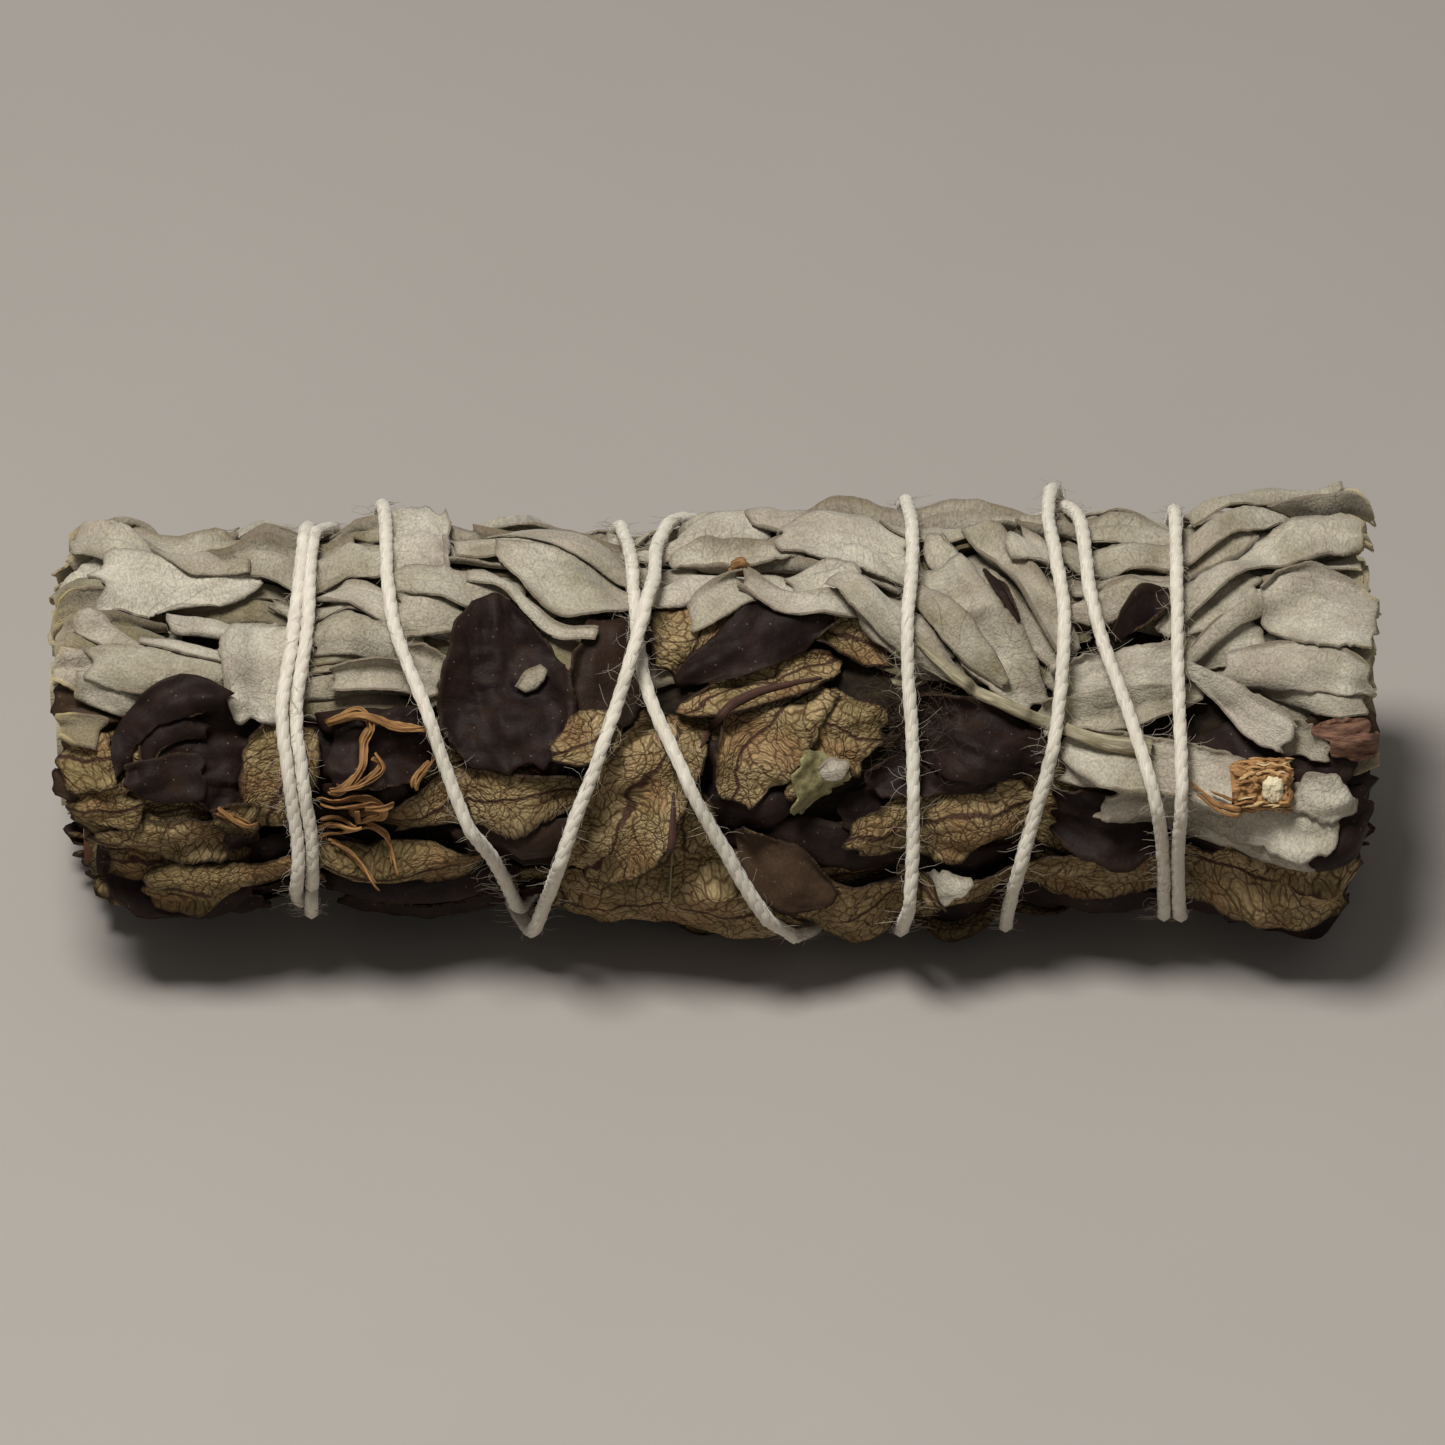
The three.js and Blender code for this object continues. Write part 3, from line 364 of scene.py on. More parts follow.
def sageLeafFelt():
    # Dried white sage leaf: short felt all over it scatters the light, so it is matt, pale and
    # speckled. It is wrinkled lengthwise, its side veins just show, and its thin edges are rubbed
    # brown, or cream where the leaf was cut through.
    look = {
        "pale": "#c8c0ae", "olive": "#7f7457", "mauve": "#a89a8a", "brown": "#5a4832", "cutEdge": "#bda873",
        "blotchMm": 5.0, "mauveMm": 8.0, "feltMm": 0.22, "puckerMm": 1.4, "streakMm": (6.0, 0.55),
        "netMm": 0.9, "netWidthMm": 0.09,
        "warp": (0.45, 1.4),  # how many bends to a mm, and how far they move the pattern in mm
        "netShows": (0.25, 1.1), "speckles": (0.74, 1.16), "streaks": (0.9, 1.06),  # least and most
        "veinShade": -0.2,
        "mauveMost": 0.6, "edgeMost": 0.6,  # how far each colour covers the leaf's own at most
        "relief": {"streak": 0.6, "pucker": 1.8, "vein": -0.25},  # beside the felt's 1
        "sideVein": {"slope": 1.0, "halfGapMm": 1.2, "widthMm": 0.16, "strength": 0.45},
        "bump": (0.6, 0.16),
        "surface": {"Roughness": 0.92, "IOR": 1.45, "Sheen Weight": 0.2, "Sheen Roughness": 0.6,
                    "Specular IOR Level": 0.25},
    }
    material, tree, uv, tone, rim, cut = startMaterial("driedSageLeafFelt", "tone", "rim", "cut")
    perMm, reach = look["warp"]
    bent = add(tree, "TexNoise", {"Vector": uv, "Scale": perMm, "Detail": 2.0}, **flat)[1]
    warped = add(tree, "VectorMath", (bent, (reach, reach, 0)), **times)[0]
    warped = add(tree, "VectorMath", (uv, warped), **plus)[0]
    along, across = look["streakMm"]
    drawn = add(tree, "VectorMath", (warped, (1 / along, 1 / across, 1)), **times)[0]
    noise = {}
    for name, where, perMm, detail, coarse in (
        ("blotch", uv, 1 / look["blotchMm"], 5.0, 0.62), ("felt", uv, 1 / look["feltMm"], 2.0, 0.75),
        ("crackle", uv, 0.13, 1.0, 0.5), ("streak", drawn, 1.0, 3.0, 0.5),
        ("tinge", warped, 1 / look["mauveMm"], 3.0, 0.5), ("pucker", warped, 1 / look["puckerMm"], 3.0, 0.5),
    ):
        inputs = {"Vector": where, "Scale": perMm, "Detail": detail, "Roughness": coarse}
        noise[name] = add(tree, "TexNoise", inputs, **flat)[0]
    cells = add(tree, "TexVoronoi", {"Vector": warped, "Scale": 1 / look["netMm"]}, **edgeCells)["Distance"]
    crackled = add(tree, "MapRange", (noise["crackle"], 0.44, 0.6, *look["netShows"]))[0]
    net = add(tree, "MapRange", (cells, 0.0, look["netWidthMm"] / look["netMm"], crackled, 0.0), **eased)[0]
    side, _ = sideVeins(tree, warped, look["sideVein"])
    noise["vein"] = add(tree, "Math", (net, side), operation="MAXIMUM")[0]
    # Tone mixes the leaf's colour from pale to olive. It holds each leaf's own colour, and on hidden leaves
    # and leaves that lie in shadow it is painted shade.
    blotch = add(tree, "Math", (noise["blotch"], 1.6, -0.8), **timesPlus)[0]
    olive = add(tree, "Math", (tone, blotch), **plus, use_clamp=True)[0]
    base = add(tree, "Mix", {0: olive, 6: look["pale"], 7: look["olive"]}, **colours)[2]
    tinge = add(tree, "MapRange", (noise["tinge"], 0.46, 0.7, 0.0, look["mauveMost"]))[0]
    base = add(tree, "Mix", {0: tinge, 6: base, 7: look["mauve"]}, **colours)[2]
    shade = add(tree, "MapRange", (noise["felt"], 0.3, 0.7, *look["speckles"]))[0]
    veined = add(tree, "Math", (noise["vein"], look["veinShade"], 1.0), **timesPlus)[0]
    streaked = add(tree, "MapRange", (noise["streak"], 0.3, 0.7, *look["streaks"]))[0]
    for part in (veined, streaked):
        shade = add(tree, "Math", (shade, part), **times)[0]
    speckled = add(tree, "VectorMath", {0: base, 3: shade}, **scaled)[0]
    edge = add(tree, "Mix", {0: cut, 6: look["brown"], 7: look["cutEdge"]}, **colours)[2]
    worn = add(tree, "Math", (rim, look["edgeMost"]), **times, use_clamp=True)[0]
    colour = add(tree, "Mix", {0: worn, 6: speckled, 7: edge}, **colours)[2]
    relief = ((noise[name], weight) for name, weight in look["relief"].items())
    height = addedUp(tree, noise["felt"], relief)
    return finishMaterial(material, look, colour, height)


def darkLeafSkin():
    # Dried resinous leaf. Its upper face is purple-brown, softly creased and slightly glossy, with
    # specks of dust. Its underside bulges in small olive-tan fields between a net of brown veins,
    # which branch from purple side veins.
    look = {
        "upper": "#1d1413", "upperWarm": "#2e201a", "brownFace": "#483729", "dust": "#8a8074",
        "field": "#b39c74", "fieldDull": "#85744f", "fieldRed": "#946f4c", "netVein": "#543e27",
        "sideVein": "#3c281c", "midrib": "#3f2922", "edge": "#2c1f18", "dustEveryMm": 1.7,
        "nets": {"fine": (0.42, 0.07), "coarse": (0.86, 0.12)},  # each net's fields and veins in mm
        "side": {"slope": 0.9, "halfGapMm": 1.6, "widthMm": 0.13, "strength": 1.0},
        "warps": ((0.25, 2.4), (1.8, 0.25)),  # how many bends to a mm, and how far each moves the pattern
        "grit": (0.78, 1.15),  # least and most shade
        "fieldRedMost": 0.6, "dustMost": 0.6, "edgeMost": 0.85,  # how far each covers the rest at most
        "gloss": (0.6, 0.75),  # roughness of the upper face and of the net
        "bump": (0.7, 0.12), "surface": {"IOR": 1.45, "Specular IOR Level": 0.14},
    }
    material, tree, uv, tone, rim, net = startMaterial("driedDarkLeafSkin", "tone", "rim", "net")
    warped = uv
    for perMm, reach in look["warps"]:
        bent = add(tree, "TexNoise", {"Vector": uv, "Scale": perMm, "Detail": 1.0}, **flat)[1]
        bent = add(tree, "VectorMath", (bent, (-0.5, -0.5, 0)), **plus)[0]
        bent = add(tree, "VectorMath", (bent, (reach, reach, 0)), **times)[0]
        warped = add(tree, "VectorMath", (warped, bent), **plus)[0]
    veins, fields, noise = {}, {}, {}
    for name, (size, width) in look["nets"].items():
        inputs = {"Vector": warped, "Scale": 1 / size, "Randomness": 0.9}
        cells = add(tree, "TexVoronoi", inputs, **edgeCells)["Distance"]
        veins[name] = add(tree, "MapRange", (cells, 0.02, width / size, 1.0, 0.0), **eased)[0]
        fields[name] = add(tree, "MapRange", (cells, 0.0, 0.3), **eased)[0]
    for name, perMm, detail, coarse in (("blotch", 0.34, 4.0, 0.6), ("grit", 4.2, 3.0, 0.7),
                                        ("warmth", 0.22, 2.0, 0.5), ("soft", 0.9, 3.0, 0.5)):
        inputs = {"Vector": uv, "Scale": perMm, "Detail": detail, "Roughness": coarse}
        noise[name] = add(tree, "TexNoise", inputs, **flat)[0]
    side, beside = sideVeins(tree, warped, look["side"])
    midrib = add(tree, "MapRange", (beside, 0.1, 0.28, 1.0, 0.0), **eased)[0]
    patch = add(tree, "MapRange", (noise["blotch"], 0.38, 0.68))[0]
    gritty = add(tree, "MapRange", (noise["grit"], 0.3, 0.7, *look["grit"]))[0]
    dull = add(tree, "Math", (tone, 0.8, patch), **timesPlus, use_clamp=True)[0]
    under = add(tree, "Mix", {0: dull, 6: look["field"], 7: look["fieldDull"]}, **colours)[2]
    warmth = add(tree, "MapRange", (noise["warmth"], 0.5, 0.68, 0.0, look["fieldRedMost"]))[0]
    under = add(tree, "Mix", {0: warmth, 6: under, 7: look["fieldRed"]}, **colours)[2]
    under = add(tree, "VectorMath", {0: under, 3: gritty}, **scaled)[0]
    for strength, mask, colour in ((0.35, veins["fine"], "netVein"), (0.85, veins["coarse"], "netVein"),
                                   (0.7, side, "sideVein"), (0.9, midrib, "midrib")):
        amount = add(tree, "Math", (mask, strength), **times)[0]
        under = add(tree, "Mix", {0: amount, 6: under, 7: look[colour]}, **colours)[2]
    inputs = {"Vector": uv, "Scale": 1 / look["dustEveryMm"]}
    specks = add(tree, "TexVoronoi", inputs, voronoi_dimensions="2D")["Distance"]
    dusty = add(tree, "MapRange", (specks, 0.02, 0.05, look["dustMost"], 0.0))[0]
    dusty = add(tree, "Math", (dusty, patch), **times)[0]
    browned = add(tree, "MapRange", (tone, 0.7, 0.95))[0]
    upper = add(tree, "Mix", {0: patch, 6: look["upper"], 7: look["upperWarm"]}, **colours)[2]
    upper = add(tree, "Mix", {0: browned, 6: upper, 7: look["brownFace"]}, **colours)[2]
    upper = add(tree, "VectorMath", {0: upper, 3: gritty}, **scaled)[0]
    upper = add(tree, "Mix", {0: dusty, 6: upper, 7: look["dust"]}, **colours)[2]
    colour = add(tree, "Mix", {0: net, 6: upper, 7: under}, **colours)[2]
    worn = add(tree, "Math", (rim, look["edgeMost"]), **times, use_clamp=True)[0]
    colour = add(tree, "Mix", {0: worn, 6: colour, 7: look["edge"]}, **colours)[2]
    roughness = add(tree, "MapRange", (net, 0.0, 1.0, *look["gloss"]))[0]
    bulge = addedUp(tree, fields["fine"], ((fields["coarse"], 0.9), (side, -0.9)))
    soft = add(tree, "Math", (noise["soft"], 1.3), **times)[0]
    height = addedUp(tree, add(tree, "Mix", {0: net, 2: soft, 3: bulge})[0], ((noise["grit"], 0.3),))
    return finishMaterial(material, look, colour, height, Roughness=roughness)


def undyedCotton():
    # Undyed cotton string: soft off-white fibres, matt all over, with shade only between the plies.
    look = {
        "light": "#e4ddcf", "dark": "#cdc4b3", "grainMm": (1.4, 0.1), "detail": 2.0, "spread": (0.35, 0.65),
        "bump": (0.6, 0.05),
        "surface": {"Roughness": 1.0, "IOR": 1.53, "Specular IOR Level": 0.1, "Sheen Weight": 0.3,
                    "Sheen Roughness": 0.5},
    }
    material, tree, uv = startMaterial("undyedCottonString")
    fibres, colour = grainOf(tree, uv, look)
    return finishMaterial(material, look, colour, fibres)


def driedStem(name, bark, barkDark, wood, pith, strip):
    # Dried stem: matt ridged bark. A cut end shows a tan ring of wood round a cream pith.
    look = {
        "light": bark, "dark": barkDark, "grainMm": (6 * strip, strip), "detail": 3.0, "spread": (0.3, 0.7),
        "rings": [(0.35, bark), (0.6, wood), (0.95, pith)], "bump": (0.7, 0.15),
        "surface": {"Roughness": 0.85, "IOR": 1.5, "Specular IOR Level": 0.3},
    }
    material, tree, uv, cut, hub = startMaterial(name, "net", "rim")
    grain, outside = grainOf(tree, uv, look)
    rings = add(tree, "TexNoise", {"Vector": uv, "Scale": 3.0, "Detail": 2.0}, **flat)[0]
    inside = add(tree, "ValToRGB", (addedUp(tree, hub, ((rings, 0.35),)),), look["rings"])[0]
    colour = add(tree, "Mix", {0: cut, 6: outside, 7: inside}, **colours)[2]
    return finishMaterial(material, look, colour, grain)


def driedPlantFlesh(name, light, dark, patchMm, roughness):
    # Small dry bits of plant: one colour that darkens in patches, which run along them, with a fine grain.
    look = {
        "light": light, "dark": dark, "grainMm": patchMm, "detail": 4.0, "coarse": 0.7, "spread": (0.3, 0.7),
        "bump": (0.6, 0.15), "surface": {"Roughness": roughness, "IOR": 1.45, "Specular IOR Level": 0.3},
    }
    material, tree, uv = startMaterial(name)
    patches, colour = grainOf(tree, uv, look)
    return finishMaterial(material, look, colour, patches)


sageFelt = sageLeafFelt()
darkSkin = darkLeafSkin()
cotton = undyedCotton()
sageBark = driedStem("downySageStem", "#b5ab90", "#857b60", "#b98d45", "#dfd0a0", 0.25)
darkBark = driedStem("redBrownStem", "#6a4431", "#38221a", "#b07f4a", "#d8c48e", 0.25)
brokenWood = driedStem("brokenDryWood", "#b98b59", "#6b482c", "#c9a878", "#e2d6b4", 0.12)
# The packed inside is coloured near black: painted shade for the deep gaps between the leaves.
packedShade = driedPlantFlesh("packedInsidePaintedShade", "#33291c", "#130e0a", (1.5, 1.5), 0.95)
stripFlesh = driedPlantFlesh("driedLeafStrips", "#b58a57", "#623d22", (2.5, 0.16), 0.75)
fluff = driedPlantFlesh("looseCottonFluff", "#c6bcab", "#a79c8b", (2.0, 2.0), 1.0)
hair = driedPlantFlesh("dustyPlantHair", "#6f5f4c", "#4a3c2e", (2.0, 2.0), 1.0)
redBark = driedPlantFlesh("redBrownBark", "#8b6853", "#472c22", (1.6, 0.3), 0.8)
greenFlesh = driedPlantFlesh("greenLeafFlesh", "#9d9569", "#655e40", (0.7, 0.7), 0.85)
ribFlesh = driedPlantFlesh("leafRibs", "#5b3f34", "#37251f", (2.5, 0.25), 0.8)
print("materials made")

# The string's course. Its turns are given in the order in which it is wound, each from the top edge
# over the facing side to the bottom edge or on underneath.
cottonString = {
    "strands": [
        [(-32.2, 80), (-33.2, 33), (-34.1, 6), (-33.6, -19), (-33.1, -42), (-33.4, -78)],
        [(-26.2, 84), (-25.3, 33), (-22.6, 3), (-20.2, -25), (-17.9, -46), (-16.1, -82)],
        [(-7.1, 84), (-6.1, 29), (-5.3, 9), (-2.1, -19), (1.4, -46), (6.2, -84)],
        [(15.5, 84), (15, 20), (15.3, -8), (15.2, -42), (14.4, -82), (14.2, -158)],
        [(28.3, 84), (29.7, 36), (32.5, -2), (34.3, -25), (35, -54), (35.1, -78)],
        [(36.4, 84), (36.2, 17), (36.3, -19), (36.1, -42), (36.3, -78), (37.2, -160)],
        [(26.6, 84), (27.4, 33), (26.4, -8), (25, -31), (23.5, -54), (22.7, -82), (21.4, -158)],
        [(-3.5, 84), (-4.9, 43), (-6.5, 20), (-9.2, -8), (-12.4, -38), (-14.4, -80)],
        [(-31.1, 80), (-32.1, 33), (-33.0, 6), (-32.5, -19), (-32.0, -42), (-32.3, -78)],
    ],
    "firstTail": [(-38.6, 170), (-36.6, 158)],
    "lastTail": [(-31, 134), (-28.4, 122)],
    "knot": (-33.2, 146),
    "knotSize": 0.52,
    "knotOff": 0.75,  # how far the knot stands off, and how far its loops pass over each other
    "knotOver": 0.45,
    "thickness": 1.2,
    "plies": 3,
    "plyRadius": 0.485,
    "plyOffset": 0.105,
    "plySides": 6,
    "plyStep": 0.37,
    "twistMm": 3.6,
    "pullDepth": 1.2,
    "pullReach": 2.6,
    "bite": 0.12,  # how deep it presses into the leaves it lies on
    "pulls": 1500,
    "crossing": 40,  # degrees of turn over which one turn rides over another
    "parted": (0.9, 3.2),  # as two turns part by this much, the later one comes down beside the other
    "ridesBy": 0.1,  # more than its thickness
}


def stringCourse():
    turns = cottonString["strands"]
    knotX, knotAround = cottonString["knot"]
    route = cottonString["firstTail"] + [(knotX - 0.5, knotAround)]
    for n, turn in enumerate(turns):
        route += [(x, around - 360 * n) for x, around in turn]
    tail = [(knotX + 0.5, knotAround)] + cottonString["lastTail"]
    route += [(x, around - 360 * len(turns)) for x, around in tail]
    line = curveThrough([(around * mmPerDegree, x) for x, around in route], 24)
    around = np.arange(route[0][1], route[-1][1], -1.0)
    return around, np.interp(-around * mmPerDegree, -line[:, 0], line[:, 1])


stringAround, stringX = stringCourse()
nowhere = 999.0
windings = np.full((len(stringX) // 360 + 1, 360), nowhere)
windings[np.arange(len(stringX)) // 360, np.round(stringAround).astype(int) % 360] = stringX


def pulledIn(x, around):
    gap = np.min(np.abs(x - windings[:, np.round(around).astype(int) % 360]), axis=0)
    return cottonString["pullDepth"] * np.exp(-((gap / cottonString["pullReach"]) ** 2)) + sunk(x, around)


# Leaves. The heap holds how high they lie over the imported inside, in cells of 1/4 mm by 1 degree.
heapCells = {"perMm": 4, "from": -58.5, "rows": 468}
heap = np.zeros((heapCells["rows"], 360))


def heapRow(x):
    return (x - heapCells["from"]) * heapCells["perMm"]


def heapUnder(x, around, margin):  # the heap's cells round these places, and the places among them
    row, column = heapRow(x), np.asarray(around, float)
    low = np.floor([row.min() - margin, column.min() - margin]).astype(int)
    high = np.ceil([row.max() + margin, column.max() + margin]).astype(int) + 2
    rows = np.clip(np.arange(low[0], high[0]), 0, heapCells["rows"] - 1)
    return heap[np.ix_(rows, np.arange(low[1], high[1]) % 360)], row - low[0], column - low[1]


def readAt(cells, row, column):
    i, j = row.astype(int), column.astype(int)
    s, t = row - i, column - j
    low = cells[i, j] * (1 - t) + cells[i, j + 1] * t
    high = cells[i + 1, j] * (1 - t) + cells[i + 1, j + 1] * t
    return low * (1 - s) + high * s


def spread(cells, reach, combine):
    for axis in (0, 1):
        cells = combine([np.roll(cells, k, axis) for k in range(-reach, reach + 1)], axis=0)
    return cells


def topOf(cells, reach):  # the highest cells round each, eased
    return spread(spread(cells, reach, np.max), reach, np.mean)


def skinUnder(x, around):  # the outside of what is laid
    cells, row, column = heapUnder(x, around, 4)
    return readAt(topOf(cells, 1), row, column)


def overFloor(around, out):  # no leaf sinks into the surface that the bunch lies on
    drop = np.maximum(-np.sin(np.radians(around + bunch["faceTilt"])), 0.001)
    return np.minimum(out, (bunch["axisZ"] - aboveFloor["leaf"]) / drop)


def finer(grid):
    rows = np.empty((2 * grid.shape[0] - 1, grid.shape[1]))
    rows[::2], rows[1::2] = grid, (grid[1:] + grid[:-1]) / 2
    both = np.empty((rows.shape[0], 2 * grid.shape[1] - 1))
    both[:, ::2], both[:, 1::2] = rows, (rows[:, 1:] + rows[:, :-1]) / 2
    return both


# In mm: thick, step from point to point, sink into what is below, margin (its dark border), lift of
# all of it and rise of its two ends. Tilt raises one edge over the other, and roll goes from 0, flat,
# to 1, a tube. A cupped leaf has its edges up, so a rolled one shows its opening.
anyLeaf = {"ridge": 0.3, "ragged": 0.05, "sink": 0.05, "net": 0.0, "lift": 0.0, "rise": (0, 0),
           "margin": 0.2, "ends": ("torn", "torn")}
leafKinds = {
    "sage": {"thick": 0.17, "step": 0.35, "wrinkle": 0.13, "pleat": 0.13, "crease": 0.2, "curl": 0.45,
             "lip": 1.1, "wavy": 0.07, "midrib": 0.14, "bridge": 5, "twist": 0.3, "cupped": 0.4,
             "rounding": 0.1, "folded": 0.2, "varied": 0.3},
    "dark": {"thick": 0.19, "step": 0.34, "wrinkle": 0.14, "pleat": 0.05, "crease": 0.26, "curl": 0.55,
             "lip": 0.8, "wavy": 0.14, "midrib": 0.16, "bridge": 4, "twist": 0.2, "cupped": 0.2,
             "rounding": 0.2, "folded": 0.1, "varied": 0.0},
}
folds = {  # the noise of each, its size along and across the leaf in mm, and what is added to the seed
    "wrinkle": (ripple, 2.4, 1.2, 3),
    "ridge": (crumple, 11, 2.6, 6),
    "pleat": (crumple, 9, 1.3, 7),
    "crease": (crumple, 2.8, 2.4, 4),
}
hidden = {"ridge": 0.12, "lip": 0.3, "curl": 0.15, "twist": 0.1, "cupped": 0, "wrinkle": 0.08, "folded": 0}
tear = 1.2  # mm from a torn end over which it is torn
rolledWhole = 105  # degrees that each half of a leaf turns through when its roll is 1


def endTaper(fromEnd, wide, shape):
    if shape == "round":
        share = fromEnd / (0.5 * wide)
        return np.sqrt(np.clip(share, 0.02, 1) * (2 - np.clip(share, 0, 1)))
    return np.clip(0.86 + 0.14 * fromEnd / 1.5, 0, 1)


def layLeaf(leaf, kind, seed):
    # Lays one leaf on the heap along its spine, which has x, around and its width at each point, and
    # returns it as a closed sheet.
    look = {**anyLeaf, **leafKinds[kind], **leaf}
    random = np.random.default_rng(seed)
    lean, tilt = random.uniform(-0.3, 0.3), look.get("tilt", random.uniform(-0.14, 0.14))
    tone = look.get("tone", random.uniform(0.1, 0.65))
    tone += look["varied"] * np.random.default_rng(seed + 1).uniform(-0.6, 1)
    twist = look["twist"] * random.uniform(-1, 1)
    cup = look.get("cup", float(random.uniform() < look["cupped"]))
    lips = look["lip"] * np.clip(random.uniform(-0.6, 1, 2), 0, 1)
    fold = look["folded"] * random.uniform(-0.8, 1)  # along its midrib

    # Its middle line, its half width along it, and how it is rolled and torn across.
    points = [(x, around * mmPerDegree, wide) for x, around, wide in look["spine"]]
    along, line = evenly(curveThrough(points, 12), look["step"])
    d, length = along[:, None], along[-1]
    lineX, lineArc, wide = line.T[..., None]
    goX, goArc = unit(np.gradient(line[:, :2], axis=0)).T[..., None]
    half = wide / 2 * endTaper(d, wide, look["ends"][0]) * endTaper(length - d, wide, look["ends"][1])
    bow = max(math.radians(rolledWhole * look["roll"]), 0.05)
    chord = math.sin(min(bow, math.pi / 2))
    girth = wide.max() * bow / chord
    v = np.linspace(-1, 1, max(6, int(math.ceil(girth / look["step"]))) + 1)
    edge, side = np.abs(v), np.sign(v)
    hoop = half / chord
    arch = np.cos(v * bow) - math.cos(bow)
    section = 0.85 * hoop * (arch + cup * (1 - math.cos(bow) - 2 * arch))
    notch = look["ragged"] * (ripple(d / 1.4, side * 7, seed) + 0.8 * ripple(d / 0.45, side * 3, seed + 1))
    notch = notch + look["wavy"] * ripple(d / 3.4, side * 4, seed + 11)
    y = hoop * np.sin(v * bow) * (1 + edge * notch) + lean * section
    section = section + fold * half * (1 - edge)
    turned = np.clip((edge - 0.66) / 0.34, 0, 1) ** 1.5 * np.where(v < 0, lips[0], lips[1])
    turned = turned * np.clip(0.6 + 0.8 * ripple(d / 6, side * 9, seed + 9), 0, 1.3)
    y = y - side * 0.34 * half * turned**2
    section = section + 0.36 * half * np.sin(np.minimum(turned, 1) * math.pi / 2)
    torn = 0.9 * ripple(v * half / 0.9, 0.5 + 0 * d, seed + 2) - look["rounding"] * v**2 * half
    first, last = (np.exp(-off / tear) * (end == "torn") for off, end in zip((d, length - d), look["ends"]))
    slip = torn * (last - first)
    x = lineX - goArc * y + goX * slip
    around = (lineArc + goX * y + goArc * slip) / mmPerDegree

    # How high it lies. Where the leaves below stand higher, it is pressed over them.
    cells, row, column = heapUnder(x, around, 2 * look["bridge"] + 2)
    rest = 0.65 * spread(cells, look["bridge"], np.mean) + 0.35 * topOf(cells, look["bridge"])
    curled = look["curl"] * np.clip((edge - 0.62) / 0.38, 0, 1) ** 2
    relief = 0
    for name, (noise, alongMm, acrossMm, further) in folds.items():
        relief = relief + look[name] * noise(d / alongMm, y / acrossMm, seed + further)
    relief = (
        relief + curled * (0.3 + 1.2 * ripple(d / 3.5, side * 5, seed + 5))
        + look["midrib"] * np.exp(-((v * half / 0.3) ** 2))
        + (tilt + twist * (2 * d / length - 1) + 0.2 * ripple(d / 7, 0.5, seed + 8)) * y
        + look["rise"][0] * np.exp(-d / 2.5) + look["rise"][1] * np.exp(-(length - d) / 2.5)
    )
    thick = look["thick"] / 2
    height = pressed(x, readAt(rest, row, column)) - look["sink"] + look["lift"] + thick + section + relief
    below = readAt(topOf(cells, 1), row, column) + thick
    height = (height + below + np.sqrt((height - below) ** 2 + 0.02)) / 2
    grids = [x, around, height + thick]
    for _ in range(1 if look["step"] < 0.4 else 2):
        grids = [finer(grid) for grid in grids]
    row = np.clip(np.round(heapRow(grids[0])).astype(int), 0, heapCells["rows"] - 1)
    np.maximum.at(heap, (row, np.round(grids[1]).astype(int) % 360), grids[2])

    mid = place(x, around, overFloor(around, packedRadius(x) + height - pulledIn(x, around)))
    inward = np.minimum(np.minimum(d, length - d), (1 - edge) * half)
    rim = np.exp(-np.maximum(inward, 0) / look["margin"])
    across = v * girth / 2 * (half / wide.max() * 2)
    ownPlace = d + 37.0 * (seed % 89)  # so that no two leaves are marked alike
    return closedSheet(mid, look["thick"], ownPlace, across, tone, rim, look["net"])


def seeded(seed):
    state = seed
    while True:
        state = (state * 16807) % 2147483647
        yield state / 2147483647


def between(limits, share):
    return limits[0] + (limits[1] - limits[0]) * share


darkEdge = [(-56, 2), (-38, 6), (-22, 8), (-17, 26), (-8, 30), (6, 30), (14, 24), (22, 0), (28, -16),
            (56, -14)]
darkFoot = -168


def isDark(x, around):
    return darkFoot < around < np.interp(x, *zip(*darkEdge))


def isSage(x, around):
    return not isDark(x, around)


def scatteredLeaves(count, seed, span, width, roll, keep=None, long=(26, 42)):
    # Leaves with no place of their own: they lie nearly along the bunch.
    random = seeded(seed)
    leaves = []
    for k in range(count):
        around = between(span, (k + 0.7 * next(random)) / count)
        length = between(long, next(random))
        lane = (k * 0.382 + 0.25 * next(random)) % 1
        middle = bunch["cutLeft"] + length / 2 + lane * (bunch["cutRight"] - bunch["cutLeft"] - length)
        slant = 22 * (next(random) - 0.5)
        start = max(middle - length / 2, endAt("left", around) + next(random))
        stop = min(middle + length / 2, endAt("right", around) - next(random))
        wide = between(width, next(random))
        bend = 8 * (next(random) - 0.5)
        spine = [(start, around - slant / 2, wide * 0.62), ((start + stop) / 2, around + bend, wide),
                 (stop, around + slant / 2, wide * 0.5)]
        curved = between(roll, next(random))
        if keep is None or all(keep(x, turn) for x, turn, _ in spine):
            leaves.append({"spine": spine, "roll": curved})
    return leaves


def layAll(target, kind, leaves, seed, **common):
    target[kind] += [layLeaf({**common, **leaf}, kind, seed + 7 * k) for k, leaf in enumerate(leaves)]


under, behind = {"sage": [], "dark": []}, {"sage": [], "dark": []}
broad = {"step": 0.9, "thick": 0.3, **hidden}
# The under layers of sage get a high tone, which paints them darker olive: painted shade for the gaps
# between the leaves above.
layAll(under, "sage", scatteredLeaves(15, 11, (-4, 190), (9, 12), (0, 0.2), isSage), 1000, tone=0.9, **broad)
layAll(under, "dark", scatteredLeaves(7, 23, (-164, 4), (10, 13), (0, 0.2), isDark), 2000, net=1.0, **broad)
layAll(under, "sage", scatteredLeaves(44, 53, (4, 104), (3, 5), (0.1, 0.8), isSage, (10, 24)), 5500,
       step=0.66, tone=0.8, **hidden)
layAll(under, "dark", scatteredLeaves(24, 59, (-88, 12), (3, 5.6), (0.1, 0.7), isDark, (8, 20)), 5800,
       step=0.66, **hidden)
stacking["limits"] = outerLimits

